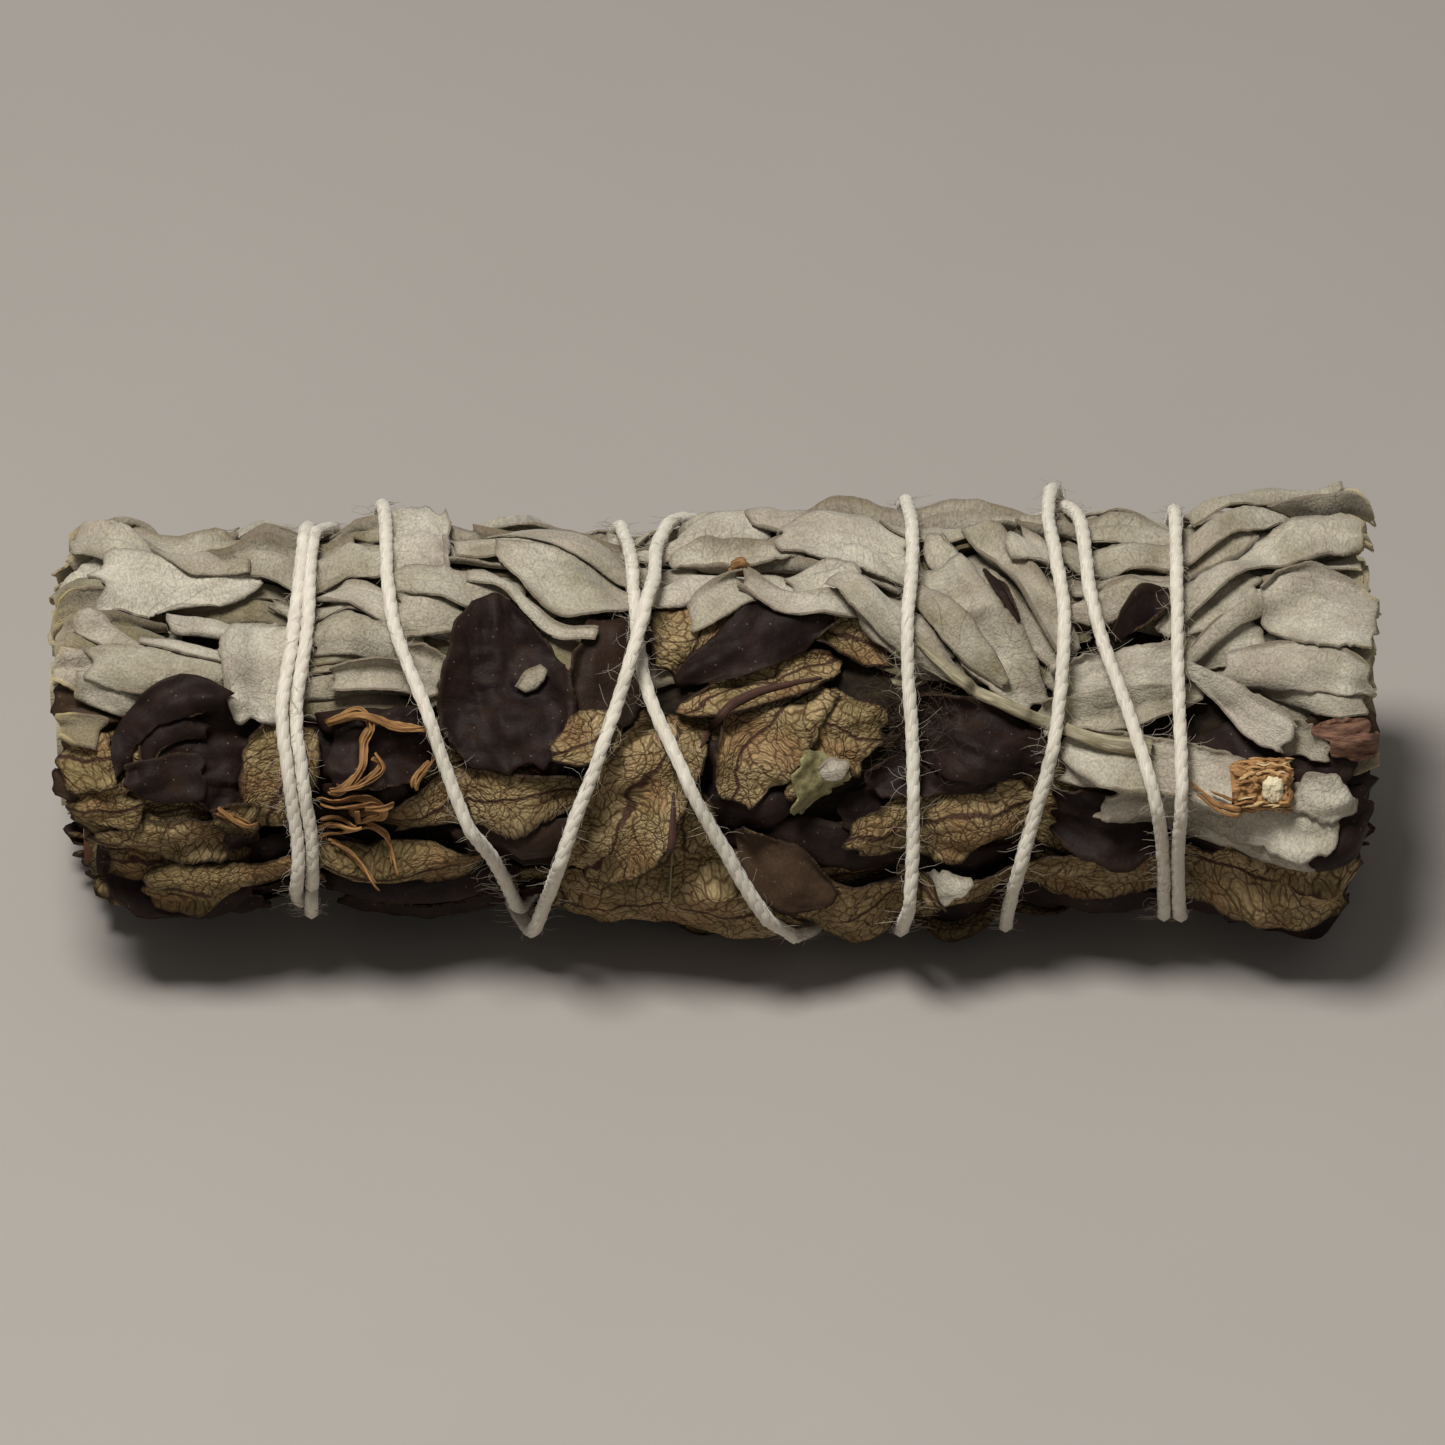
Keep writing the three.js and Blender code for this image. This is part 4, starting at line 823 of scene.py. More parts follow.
layAll(behind, "sage", scatteredLeaves(12, 37, (84, 186), (5, 8), (0.2, 0.8)), 3000, step=0.68)
layAll(behind, "dark", scatteredLeaves(6, 41, (-160, -84), (5, 6.7), (0.3, 0.8)), 4000, step=0.68)
layAll(behind, "dark", scatteredLeaves(9, 43, (-162, -84), (3, 6), (0.1, 0.9), long=(12, 26)), 4500,
       step=0.55)
layAll(behind, "sage", scatteredLeaves(26, 47, (86, 190), (2.6, 5.2), (0.3, 1), long=(14, 30)), 5000,
       step=0.55)
gapLeaf = {"spine": [(29.5, 112, 3.6), (36.5, 116, 6), (44.5, 114, 4)], "roll": 0.4}
layAll(behind, "sage", [gapLeaf], 4800, step=0.5)
restingLeaf = {"spine": [(-10.6, -137, 9), (-2, -136, 11.6), (6.8, -135, 9)], "lift": 3.0, "twist": 0}
lowestLeaf = {"spine": [(-14.5, -86, 6), (-3, -91, 11), (13.5, -88, 8)], "lift": 0.3, "twist": 0.05,
              "tone": 0.3}
layAll(behind, "dark", [restingLeaf, lowestLeaf], 4900, step=0.5, roll=0.1, net=1.0, cup=0, tilt=0.0)
# These small fill leaves are also given a darker tone, as painted shade.
layAll(under, "sage", scatteredLeaves(20, 67, (6, 96), (2.0, 3.6), (0.3, 1), isSage, (8, 18)), 5600,
       step=0.56, tone=0.6)


def endLeaves(count, seed):
    # Short leaves at both cut ends, rolled and cut through, laid all round the bunch.
    random = seeded(seed)
    leaves = []
    for k in range(2 * count):
        side, inward = ("left", 1) if k % 2 else ("right", -1)
        around = -170 + 360 * (k // 2 + 0.8 * next(random)) / count
        tip = endAt(side, around) + inward * 1.4 * next(random) ** 2
        length = 6 + 8 * next(random)
        wide = 2.2 + 2.6 * next(random)
        slanted = around + 16 * (next(random) - 0.5)
        spine = [(tip, around, wide), (tip + inward * length / 2, slanted, wide),
                 (tip + inward * length, slanted, wide * 0.5)]
        leaf = {"spine": spine, "roll": 0.4 + 0.6 * next(random), "step": 0.45}
        kind = "dark" if isDark(tip, around) else "sage"
        leaves.append((kind, {**leaf, "net": float(kind == "dark" and next(random) < 0.5)}))
    return leaves


for k, (kind, leaf) in enumerate(endLeaves(34, 61)):
    under[kind].append(layLeaf(leaf, kind, 5950 + 3 * k))
print("under and back leaves laid")


def sage(roll, *spine, **more):
    return "sage", {"spine": spine, "roll": roll, **more}


def dark(roll, *spine, **more):
    return "dark", {"spine": spine, "roll": roll, **more}


# The leaves of the facing side from the lowest to the topmost: how far each is rolled, and then x,
# around and its width at a few points along it.
facingLeaves = [
    dark(0.15, (-13, -74, 6), (4, -74, 9), (22.3, -70, 7), net=1, tone=0.1),
    dark(0.2, (16, -66, 5), (36, -60, 8), (50.4, -57, 7.6), net=1, tone=0.1),
    dark(0.6, (-32, -51, 4), (-25, -54, 5.4), (-18.7, -57, 4.6), net=1, tone=0.9),
    dark(0.5, (-45.6, -58, 4.4), (-39.1, -58, 5.6), (-32.8, -55, 4.4), net=1, tone=0.8),
    dark(0.2, (-49, -38, 3), (-43.8, -36.5, 5), (-37.5, -36.5, 4), net=1, tone=0.1),
    dark(0.2, (37.2, -43, 2.6), (50.4, -43, 2.8)),
    dark(0.15, (45.1, -35, 6), (51.4, -34, 6.5)),
    dark(0.6, (46, -4, 3), (49.8, -5, 3.6), (51.8, -7, 3.4), tone=0.9),
    sage(0.6, (47.4, -13, 3), (51.6, -12, 3.6), tone=1.0),
    # Its tone of 1.0 is painted shade: this leaf lies in shadow.
    sage(0.4, (37.6, 15, 3.6), (42.5, 12, 2.4), tone=1.0),
    sage(0.6, (42.9, 13, 4), (48.2, 6, 4), (51, 3, 2.4), tone=0.35),
    sage(0.4, (44, 22, 4.4), (51.6, 20, 4), tone=0.8),
    dark(0.1, (26.2, -35, 6.4), (34.1, -41.5, 6), (40, -44, 4)),
    dark(0.1, (36, -20, 5), (44, -14, 7), (50, -18, 5)),
    dark(0.2, (-20.2, -41.5, 4.6), (-9.2, -41.5, 5.6), tone=0.8),
    dark(0.2, (-30.5, -27, 4.6), (-25, -18, 4)),
    dark(0.4, (5, -19, 4.5), (9.3, -16, 2.2), net=1, tone=0.4),
    dark(0.5, (-52.3, -18, 3), (-49.8, -18, 2.6), tone=0.9),
    dark(0.3, (-50.8, -24, 3.6), (-45.4, -22, 4.4), net=1, tone=0.7, crease=0.7),
    dark(0.4, (-51.6, -10, 4.4), (-47, -8, 5), net=1, tone=0.6),
    sage(0.9, (-52.1, 49, 3), (-48, 50, 3), (-42, 52, 2), tone=0.8),
    sage(1.0, (-52.3, 38, 2.6), (-48.8, 38, 3), (-43, 40, 2), tone=0.8),
    sage(0.8, (-51.9, 29, 3.2), (-48, 28, 3.4), (-43, 30, 2), tone=0.9),
    dark(0.6, (-52.2, 11, 3.4), (-47.8, 9, 3.2), (-44, 8, 2), tone=0.9),
    sage(0.5, (-51.5, 2, 3), (-48.4, 0, 3.2), tone=1.0),
    sage(0.5, (-51.7, 22, 2.8), (-48, 16, 3.4), (-44.6, 9, 2.4), tone=0.5),
    sage(0.7, (-43.8, 28, 2.2), (-37.9, 20, 3.2)),
    sage(0.5, (-50.1, 14.5, 2.6), (-45, 9, 3), (-42.3, 6, 2)),
    sage(0.9, (-49.7, 32, 2.2), (-45.4, 23, 1.8), (-43.4, 20, 2.4), tone=0.2),
    sage(0.75, (-49.4, 20, 3.2), (-45, 18, 4.6), (-38.3, 13.5, 4.4), tone=0.3, cup=0),
    sage(0.5, (-44.6, 27, 0.8), (-42, 26, 1.5), (-38.6, 22, 1.1), tone=0.1, cup=0),
    sage(0.6, (-51, 72, 3), (-45, 76, 4), (-37, 73, 2.4), tone=0.35),
    sage(0.9, (-49.9, 67, 3.4), (-46.4, 61, 3.6), (-41, 58, 2), lift=0.4, cup=0),
    sage(0.8, (-40.7, 54, 2.5), (-32.8, 62, 3), (-28, 65, 2.2)),
    sage(1.0, (-43.4, 36, 2.8), (-40, 36, 2.6), (-36.8, 33, 1.8), tone=0.15),
    sage(0.3, (-48.6, 47, 5.4), (-43.5, 48, 5), (-35.2, 56, 2.6), tone=0.15),
    dark(0.25, (-44.6, -8, 6), (-39.1, -9, 9), (-32.8, -16, 6.4), crease=0.7, wrinkle=0.3, tilt=0.1),
    sage(0.7, (-46.3, 4, 0.8), (-43, 8, 1.1), (-41.6, 11.5, 1.2), (-38.6, 13, 0.8), tone=1.2, cup=0),
    dark(0.2, (-33.6, 3, 5), (-34.4, -16, 6.5), (-35.6, -38, 4.4), net=1, tone=0.5),
    dark(0.2, (-30.5, -8, 7), (-21.8, -5, 6.4), crease=0.5),
    sage(0.4, (-31.2, 51, 2.8), (-25.7, 41.5, 3.2), (-20.2, 31, 1.8), tone=0.3),
    sage(0.8, (-38, 56, 2.2), (-31, 58, 3), (-25, 57, 2), tone=0.3),
    sage(0.4, (-31.6, 33, 3.6), (-23.4, 28, 2.4), tone=0.3),
    sage(0.9, (-30.5, 17, 2.2), (-23.4, 17, 2.8), (-21.8, 6, 1.5), tone=0.4),
    sage(0.3, (-24.6, 20, 5.5), (-21, 17, 3.5), tone=0.35),
    sage(0.3, (-25, 37, 4.6), (-19.8, 37, 3.8), tone=0.4),
    sage(0.06, (-35.6, 3, 5.2), (-35.9, 17, 5.4), (-35.7, 28, 6.2), (-33.8, 41, 1.8), tone=0.05,
         tilt=0.05, rounding=0.02, curl=0.2, lip=0.3, wavy=0.02, twist=0.05, cup=0),
    sage(0.8, (-20.6, 62, 3), (-12.4, 66, 4), (-1.3, 66, 3), tone=0.5),
    sage(0.12, (-23.5, 85, 5.5), (-23, 47, 5.7), tone=0.0, rise=(1.2, 0), cup=0),
    sage(0.4, (-25, 49, 3), (-19.4, 45, 3.4), (-15.5, 47, 1.6), tone=0.3),
    dark(0.3, (-7.2, 41, 4.4), (-8.8, 13, 6.4), (-9.6, -4, 5), tone=0.77),
    dark(0.2, (-26.1, -35, 3.4), (-18.7, -25, 5.8), (-10, -22, 3.4), net=1, tone=0.2, margin=0.7),
    dark(0.12, (-17.2, 43, 4.4), (-17.1, 29, 7.4), (-16.2, 8, 10.8), (-15.4, -14, 9), crease=0.5,
         wrinkle=0.32, tone=0.1, ends=("round", "torn"), ragged=0.03, wavy=0.06),
    dark(0.2, (0.2, 47, 6), (-1.4, 32, 7), (-3.8, 19, 3.6), net=1, tone=0.2),
    dark(0.15, (-12.6, -74, 6), (-4, -67, 13), (6.5, -70, 9), net=1, tone=0.3),
    dark(0.1, (1.6, -37, 1.6), (4.6, -50, 4.8), (9, -61, 1.6), tone=1.0, lip=0.2),
    dark(0.3, (6.5, 3, 6.2), (12.8, -8, 6.4), net=1, tone=0.5, crease=0.6),
    dark(0.2, (-3, -22, 5), (-2, -45, 5.6), net=1, tone=0.3),
    dark(0.42, (-2.5, -1, 5), (-6.2, -21, 8.4), (-8.9, -42, 7.4), (-11.2, -57, 2.6), net=1, tone=0.05,
         crease=0.1),
    dark(0.32, (8.8, 12, 3.4), (4.8, 0, 7.6), (2.3, -13, 7.2), (1.3, -27, 2.6), net=1, tone=0.0,
         crease=0.12),
    dark(0.3, (-3, 4, 2.2), (1.6, 10.5, 3.8), (6.1, 17, 4.4), (9.8, 23, 2.2), net=1, tone=0.05,
         crease=0.12),
    dark(0.3, (6.6, 37, 2.6), (10.2, 32, 5.2), (14, 25, 3.8), net=1, tone=0.0),
    dark(0.3, (-3.4, 15, 1.2), (1.5, 23, 4.2), (5.5, 32, 5.2), (9.4, 35, 2), tone=0.3, lip=1.2),
    dark(0.15, (10.5, -41.5, 3.4), (17.6, -35, 7.6), (24.6, -31, 5.2), net=1, tone=0.15),
    dark(0.3, (12, -22, 3), (22.3, -16, 4.6), crease=0.5),
    dark(0.25, (14.4, 3, 6), (20.7, -8, 6.6), (26.2, -16, 4.2), crease=0.6),
    sage(0.6, (-19.4, 49, 1), (-16.9, 46.5, 1.3), (-14.8, 39, 1.3), (-12.3, 32, 1.4), (-9.4, 29.5, 1.2),
         tone=0.3, cup=0),
    sage(0.15, (-17.1, 59, 1.8), (-11.6, 48.5, 6.2), (-6.5, 48.5, 4), tone=0.25),
    sage(0.3, (-6.1, 47, 4.5), (0.2, 49, 5), (6.5, 47, 2.2), tone=0.3),
    sage(0.35, (-2.1, 33, 2.5), (2.6, 43, 3.5), tone=0.35),
    sage(0.8, (-18, 70, 1.6), (-11, 63, 2.6), (-6, 58, 1.8), tone=0.45),
    sage(0.6, (-8, 78, 2.4), (-1, 76, 3.6), (5, 80, 2.2), tone=0.25),
    sage(0.7, (-3.5, 66, 2), (1.5, 64, 3), (7, 60, 2), tone=0.5),
    sage(0.5, (3, 80, 2.4), (9.5, 76, 3.8), (17, 82, 2.8), tone=0.15),
    sage(0.2, (5, 65, 3.2), (10.5, 68, 5.6), (15.5, 68, 5.6), tone=0.1),
    sage(0.7, (13, 82, 2.4), (19, 78, 3), (24, 84, 2.2), tone=0.4),
    sage(0.6, (24, 84, 2.6), (31, 80, 3.6), (39, 82, 2.8), tone=0.3),
    sage(0.9, (29, 74, 1.6), (35, 72, 2.2), (44, 74, 1.6), tone=0.4),
    sage(0.3, (6.1, 47, 2.6), (11.3, 51, 4), tone=0.4),
    sage(0.5, (2.2, 43, 2), (6.5, 37, 2.6), (11.3, 37, 2.2), tone=0.35),
    sage(0.35, (11.3, 47, 3), (13.6, 33, 4.2), (17.6, 20, 2.6), tone=0.3),
    sage(0.6, (17.2, 72, 2.4), (22.3, 43, 2.8), (27, 20, 2.2), tone=0.3),
    sage(0.6, (20.3, 76, 2.6), (25.4, 43, 3.2), (27.8, 23, 2.4), tone=0.35),
    sage(0.15, (23.5, 68, 4), (27.8, 61, 4.2), tone=0.0),
    sage(0.2, (17.9, 62, 4.2), (19.2, 38, 5.2), (22.2, 21, 5.6), (25, 4, 2.6), tone=0.2, tilt=-0.08),
    sage(0.5, (9.4, 47, 3.4), (12.2, 40, 4.8), (15, 29, 3.4), (18, 17, 1.5), (20, 10.5, 1), tone=0.25,
         cup=0),
    sage(0.3, (26.2, 12, 4.5), (32.5, 17, 5), (41.2, 26, 2.2), tone=0.3),
    sage(0.7, (28.2, 47, 2.2), (36.4, 54, 2.6), (42.7, 68, 2.2), tone=0.35),
    sage(0.7, (27.8, 37, 2.4), (34.9, 42, 3), (41.2, 47, 2.2), tone=0.3),
    sage(0.6, (27, 61, 2.4), (37.2, 65, 2.8), (45.9, 76, 2.8), tone=0.3),
    sage(0.4, (25.4, 0.5, 3.6), (31.7, 3, 4.2), (38, 9, 2.2), tone=0.35),
    sage(0.15, (36.6, 36, 5), (42.6, 40, 5.4), tone=0.3),
    sage(0.15, (37.5, 19, 2), (42.8, 24, 4.8), tone=0.2, ragged=0.12),
    sage(0.8, (36.6, 17, 1.2), (40.3, 28, 1.5), (44.1, 36, 1.4), (46, 41, 1), tone=0.35, lift=0.1, cup=0),
    sage(0.5, (39.6, 14.5, 2.8), (45.9, 13, 4.2), (51.4, 9, 2.8), tone=0.4),
    sage(0.5, (34.9, 30, 1.4), (40.4, 47, 3.2), (46.7, 61, 3.5), (51.4, 61, 2.8), tone=0.3),
    sage(0.5, (38, 86, 3), (45, 92, 4.6), (51.8, 90, 4.2), tone=0.4, rise=(0, 0.9)),
    sage(0.8, (44, 78, 2.6), (48, 76, 3.8), (51.9, 77, 4), tone=0.3, lift=0.3),
    sage(0.8, (37.2, 72, 2.6), (45.1, 85, 3.4), (49.8, 88, 3.2), tone=0.3, lift=0.4),
    sage(0.06, (43, 31, 4), (46.6, 32, 7.4), (51.9, 30, 7), tone=0.4, rounding=0.03, curl=0.25,
         wavy=0.03),
    sage(0.4, (27, -19, 1.8), (32.5, -17.5, 3.2), tone=0.4),
    sage(0.1, (30.1, -31, 2), (38, -36, 4.4), (46.4, -41, 1.6), tone=0.4, ridge=0.1, cup=0),
    sage(0.05, (30.1, -29, 2.4), (39.6, -29, 4.8), (44.3, -31, 5.4), (48.6, -33, 3), tone=0.0,
         ragged=0.16, ridge=0.14, wrinkle=0.06, cup=0),
    sage(0.5, (27, -8, 3.2), (34.1, -16, 4.8), (41.2, -20, 4.4), tone=0.25),
    sage(0.05, (45.1, -22, 3.2), (48.2, -25, 3.2), (50.2, -28, 1), tone=0.1, ragged=0.2, ridge=0.1,
         cup=0),
    sage(0.15, (41.4, 1, 1.6), (44.4, -6, 3.2), (48.6, -12.5, 1.2), tone=0.3, ragged=0.22, cup=0,
         lift=0.2),
    sage(0.3, (36.8, 17, 1), (39.2, 9, 1.8), (42.6, -2, 3.4), (45, -7, 3), tone=0.05, rise=(0, 0.3),
         lift=0.3, cup=0, ragged=0.08),
    dark(0.15, (-13, -8, 1.6), (-10.8, -5.5, 4.2), (-8.2, 1, 4.8), net=1, tone=0.05, lip=0.3),
    dark(0.8, (-44.6, -10, 1), (-44.3, -4, 1.8), (-42.4, 0.5, 2), (-39.8, -0.5, 1.2), tone=0.3, lift=0.1,
         cup=0),
    dark(0.7, (-46.6, -12, 1.2), (-46.5, -3, 2), (-44.7, 5, 2.8), (-41.6, 9.5, 3.2), (-38.4, 8, 1.6),
         tone=0.15, lift=0.15, cup=0),
    dark(0.2, (31.2, 30, 0.8), (33.4, 35.5, 2.4), (36, 40, 1.6), tone=0.2),
    dark(0.12, (-46.8, -12, 1.4), (-43.8, -14, 3.8), (-40, -12.5, 4.2), tone=0.25, cup=0),
    dark(0.2, (-38.8, -35, 1.8), (-37.6, -38, 3.2), (-36.8, -43, 1.2), tone=0.3),
    dark(0.45, (-40.4, -27, 1.6), (-38, -28, 2.8), (-35.6, -29, 2.4), net=1, tone=0.9, crease=0.7,
         margin=0.6),
    sage(0.55, (15.9, 50, 1.2), (17.2, 37, 2.6), (19.8, 24, 2.8), (22.8, 11, 1), tone=0.5, cup=0,
         tilt=0.25),
    dark(0.4, (21.4, 49, 0.4), (22.3, 41, 1), (23.6, 32, 0.4), tone=0.4),
    sage(0.8, (-44.4, 60, 1.2), (-40.5, 55, 2), (-36.4, 53, 1), tone=0.6, cup=0),
]

facing = {"sage": [], "dark": []}
for k, (kind, leaf) in enumerate(facingLeaves):
    facing[kind].append(layLeaf(leaf, kind, 6000 + 11 * k))
print("facing leaves laid")

rod = {"step": 0.25, "leastRadius": 0.05, "bedded": 0.8, "uneven": 0.12}


def layRod(*course, lift=0.0, sides=10, tone=0.5):
    # A thin round stem laid on the leaves. Its course has x, around and its radius at each point.
    points = [(x, around * mmPerDegree, radius, up) for (x, around, radius), up in
              zip(course, np.broadcast_to(lift, len(course)))]
    along, line = evenly(curveThrough(points, 12), rod["step"])
    x, around, radius = line[:, 0], line[:, 1] / mmPerDegree, np.maximum(line[:, 2], rod["leastRadius"])
    rest = packedRadius(x) + skinUnder(x, around) - pulledIn(x, around)
    centre = place(x, around, rest + radius * rod["bedded"] + line[:, 3])
    out = unit(outwardAt(x, around, rest))
    beside = unit(np.cross(unit(np.gradient(centre, axis=0)), out))
    d, turn = along[:, None], roundTurn(sides)
    uneven = 1 + rod["uneven"] * ripple(d / 1.5, turn * 1.2, int(100 * radius[0]))
    rings = ringsRound(centre, radius[:, None] * uneven, out, beside, turn)
    return closedTube(rings, d, turn * radius.mean(), tone=tone)


petiole = [
    layRod((15.4, 26.5, 0.2), (17.6, 18, 0.42), (19.5, 11.4, 0.5), (24.6, 0.5, 0.52), (30.1, -8, 0.6),
           (34, -11, 0.72), lift=(-0.4, -0.1, 0, 0, 0, 0)),
    layRod((-4.0, -62, 0.05), (-3.8, -54, 0.08), (-3.6, -46, 0.04), lift=0.1, sides=6, tone=0.2),
]
makePiece("slimStalk", petiole, sageBark, [])
twigs = [
    layRod((1.1, 49.4, 0.42), (2.2, 49, 0.3), sides=8),
    layRod((1.3, 46.8, 0.36), (2.5, 47.2, 0.42), sides=8),
    layRod((1.6, 48.2, 0.3), (2.7, 47.4, 0.24), lift=0.25, sides=7),
    layRod((37.1, -20, 0.1), (39, -23.5, 0.24), (41.6, -24.5, 0.3), lift=0.1, sides=9),
    layRod((37.5, -22, 0.08), (39.5, -25, 0.16), (41.9, -26.5, 0.22), lift=0.05, sides=7),
    layRod((38.6, -21.6, 0.08), (40.2, -23, 0.16), (42.1, -22.6, 0.2), lift=0.2, sides=7),
]
makePiece("looseTwigs", twigs, brokenWood, [])
ribs = [
    layRod((8.3, 14, 0.12), (3.2, 9.5, 0.38), (0.2, 1.5, 0.36), (-1.3, -8, 0.12), lift=-0.36),
    layRod((-3.5, -22, 0.1), (-3.6, -30, 0.28), (-3.9, -41, 0.34), lift=-0.32),
]
makePiece("leafRibs", ribs, ribFlesh, [])

smallBit = {"step": 0.14, "ragged": 0.2, "bridge": 2}


def layBits(kind, look, bits, seed):
    return [layLeaf({**smallBit, **look, **bit}, kind, seed + k) for k, bit in enumerate(bits)]


barkBits = [
    {"spine": [(46.8, -5, 0.9), (48.8, -5.5, 1.9), (50.8, -4, 1.4)]},
    {"spine": [(47.9, -9.5, 1.2), (49.8, -9, 2.2), (51.8, -9.5, 2.0)]},
]
barkLook = {"roll": 0.6, "crease": 0.45, "wrinkle": 0.3, "cup": 0, "thick": 0.3}
makePiece("redBrownBark", layBits("dark", barkLook, barkBits, 8300), redBark, [])

# Orange-brown strips of dried leaf caught under the string, and a few bits between the leaves: the
# course of each, its width and its lift. A longer one has split in two along it.
stripCourses = [
    ([(-31, 2), (-28.3, 5), (-27.3, 1), (-27.8, -4), (-28, -12), (-29.8, -18), (-30.7, -19)], 0.6, 0.4),
    ([(-30.6, 1), (-28.4, 3.5), (-25, 0.5), (-22.8, -1)], 0.7, 0.2),
    ([(-27, -9), (-26.4, -11), (-27.8, -15), (-30.5, -19)], 0.45, 0.3),
    ([(-31.5, -26), (-28.4, -22), (-27.1, -24), (-26.6, -28), (-28.4, -30), (-28.6, -25)], 1.3, 0.3),
    ([(-27.6, -23), (-25.5, -23)], 0.7, 0.3),
    ([(-31.2, -35), (-29.8, -32), (-28.4, -30)], 0.8, 0.2),
    ([(-31.5, -41), (-29, -36), (-26.4, -39), (-25.7, -46)], 0.4, 0.4),
    ([(-30.7, -42), (-28.4, -46), (-27.1, -51)], 0.4, 0.3),
    ([(-39.2, -25), (-38, -26.5), (-36.8, -28)], 0.9, 0.2),
    ([(-22.4, -11), (-23.8, -16), (-23.9, -20)], 0.5, 0.3),
]
stripLook = {**smallBit, "roll": 0.45, "thick": 0.09, "lip": 0.3, "curl": 0.3, "ridge": 0.12, "pleat": 0.0,
             "wrinkle": 0.15, "ragged": 0.25, "rise": (0.2, 0.5), "margin": 0.05}
strips = []
for k, (course, wide, lift) in enumerate(stripCourses):
    for n in range(1 if len(course) < 3 else 2):
        spine = []
        for i, (x, around) in enumerate(course):
            swell = wide * (0.3 + 0.7 * math.sin(math.pi * (i + 0.5) / len(course)))
            spine.append((x + 0.28 * n, around + 1.2 * n * math.sin(2.0 * i + k), swell * (0.85 - 0.35 * n)))
        strip = {**stripLook, "spine": spine, "lift": lift + 0.1 * n}
        strips.append(layLeaf(strip, "sage", 8000 + 10 * k + n))
makePiece("driedStrips", strips, stripFlesh, [])

flakeBits = [  # the second one is green
    {"spine": [(-15.3, 13, 1.0), (-14.4, 16, 1.7), (-13.6, 19.5, 0.9)], "lift": 0.2, "tone": 0.7},
    {"spine": [(9.3, -12, 4.4), (7.8, -20, 3.6), (6, -33, 1)], "lift": 0.3, "tone": 1.2},
    {"spine": [(8, -16, 1.4), (9.2, -14.6, 1.9), (10.3, -13, 0.5)], "lift": 0.4, "tone": 0.3},
    {"spine": [(15.6, -61, 2.2), (17.6, -58, 2.4), (20, -54, 0.5)], "lift": 0.3, "tone": 0.4},
]
flakeLook = {"step": 0.16, "roll": 0.12, "lip": 0.2, "curl": 0.15, "ridge": 0.1, "cup": 0,
             "crease": 0.08, "wrinkle": 0.06}
flakes = layBits("sage", flakeLook, flakeBits, 8100)
makePiece("greenFlake", [flakes.pop(1)], greenFlesh, [])
makePiece("leafFlakes", flakes, sageFelt, [])
scrapBits = [  # these two cling to the outside of the string
    {"spine": [(-20.1, -25, 1.0), (-19.6, -30, 1.1)], "net": 0.0},
    {"spine": [(14.0, -51, 1.2), (15.6, -54, 2.4), (17, -59, 1.6)], "net": 1.0},
]
scrapLook = {"roll": 0.4, "lift": 1.1, "tone": 0.6}
makePiece("leafScraps", layBits("dark", scrapLook, scrapBits, 8200), darkSkin, [])
print("small bits laid")


def leafPieces(nameEnd, parts):
    makePiece("sage" + nameEnd, parts["sage"], sageFelt, ["sage_leaves"])
    makePiece("dark" + nameEnd, parts["dark"], darkSkin, ["dark_leaves"])


leafPieces("LeavesFacing", facing)
leafPieces("LeavesUnder", under)
leafPieces("LeavesBehind", behind)

# Sprigs: stems, and the leaves rolled round them, which show at the cut ends. Each has its kind, where
# it lies around the bunch's axis and how far off it.
sprigs = [
    ("sage", 0, 0), ("sage", 22, 9.4), ("sage", 64, 9.6), ("sage", 108, 9.2), ("sage", 152, 9.6),
    ("sage", -158, 9.0), ("dark", -116, 9.4), ("dark", -72, 9.0), ("dark", -26, 9.4),
]
stemRadius = {"sage": (1.75, 1.15), "dark": (1.3, 0.95)}  # at the thick and the thin end
rolledLeaf = {"levels": 7, "thick": 0.26, "from": 42.0, "root": 45.0, "step": 0.58, "rows": 9, "outline": 80}


def stemCentre(sprig, x):
    _, around, out = sprig
    side = np.sign(out)
    return place(x, around + 5 * np.sin(x / 17 + around) * side, out + 0.5 * np.cos(x / 13 + around) * side)


def sprigReach(sprig, spokes, x):  # how far its leaves reach before they meet the next sprig's
    centre = stemCentre(sprig, x)
    inner = packedRadius(x) - 0.1 - 0.8 * max(sunk(x, sprig[1]), 0)
    off = centre - place(x, 0, 0.0)
    b = spokes @ off
    reach = -b + np.sqrt(b * b + inner * inner - off @ off)
    for other in sprigs:
        if other is not sprig:
            apart = stemCentre(other, x) - centre
            towards = spokes @ apart
            limit = np.where(towards > 0.2, (apart @ apart) / (2 * np.maximum(towards, 0.2)), np.inf)
            reach = np.minimum(reach, limit)
    return reach


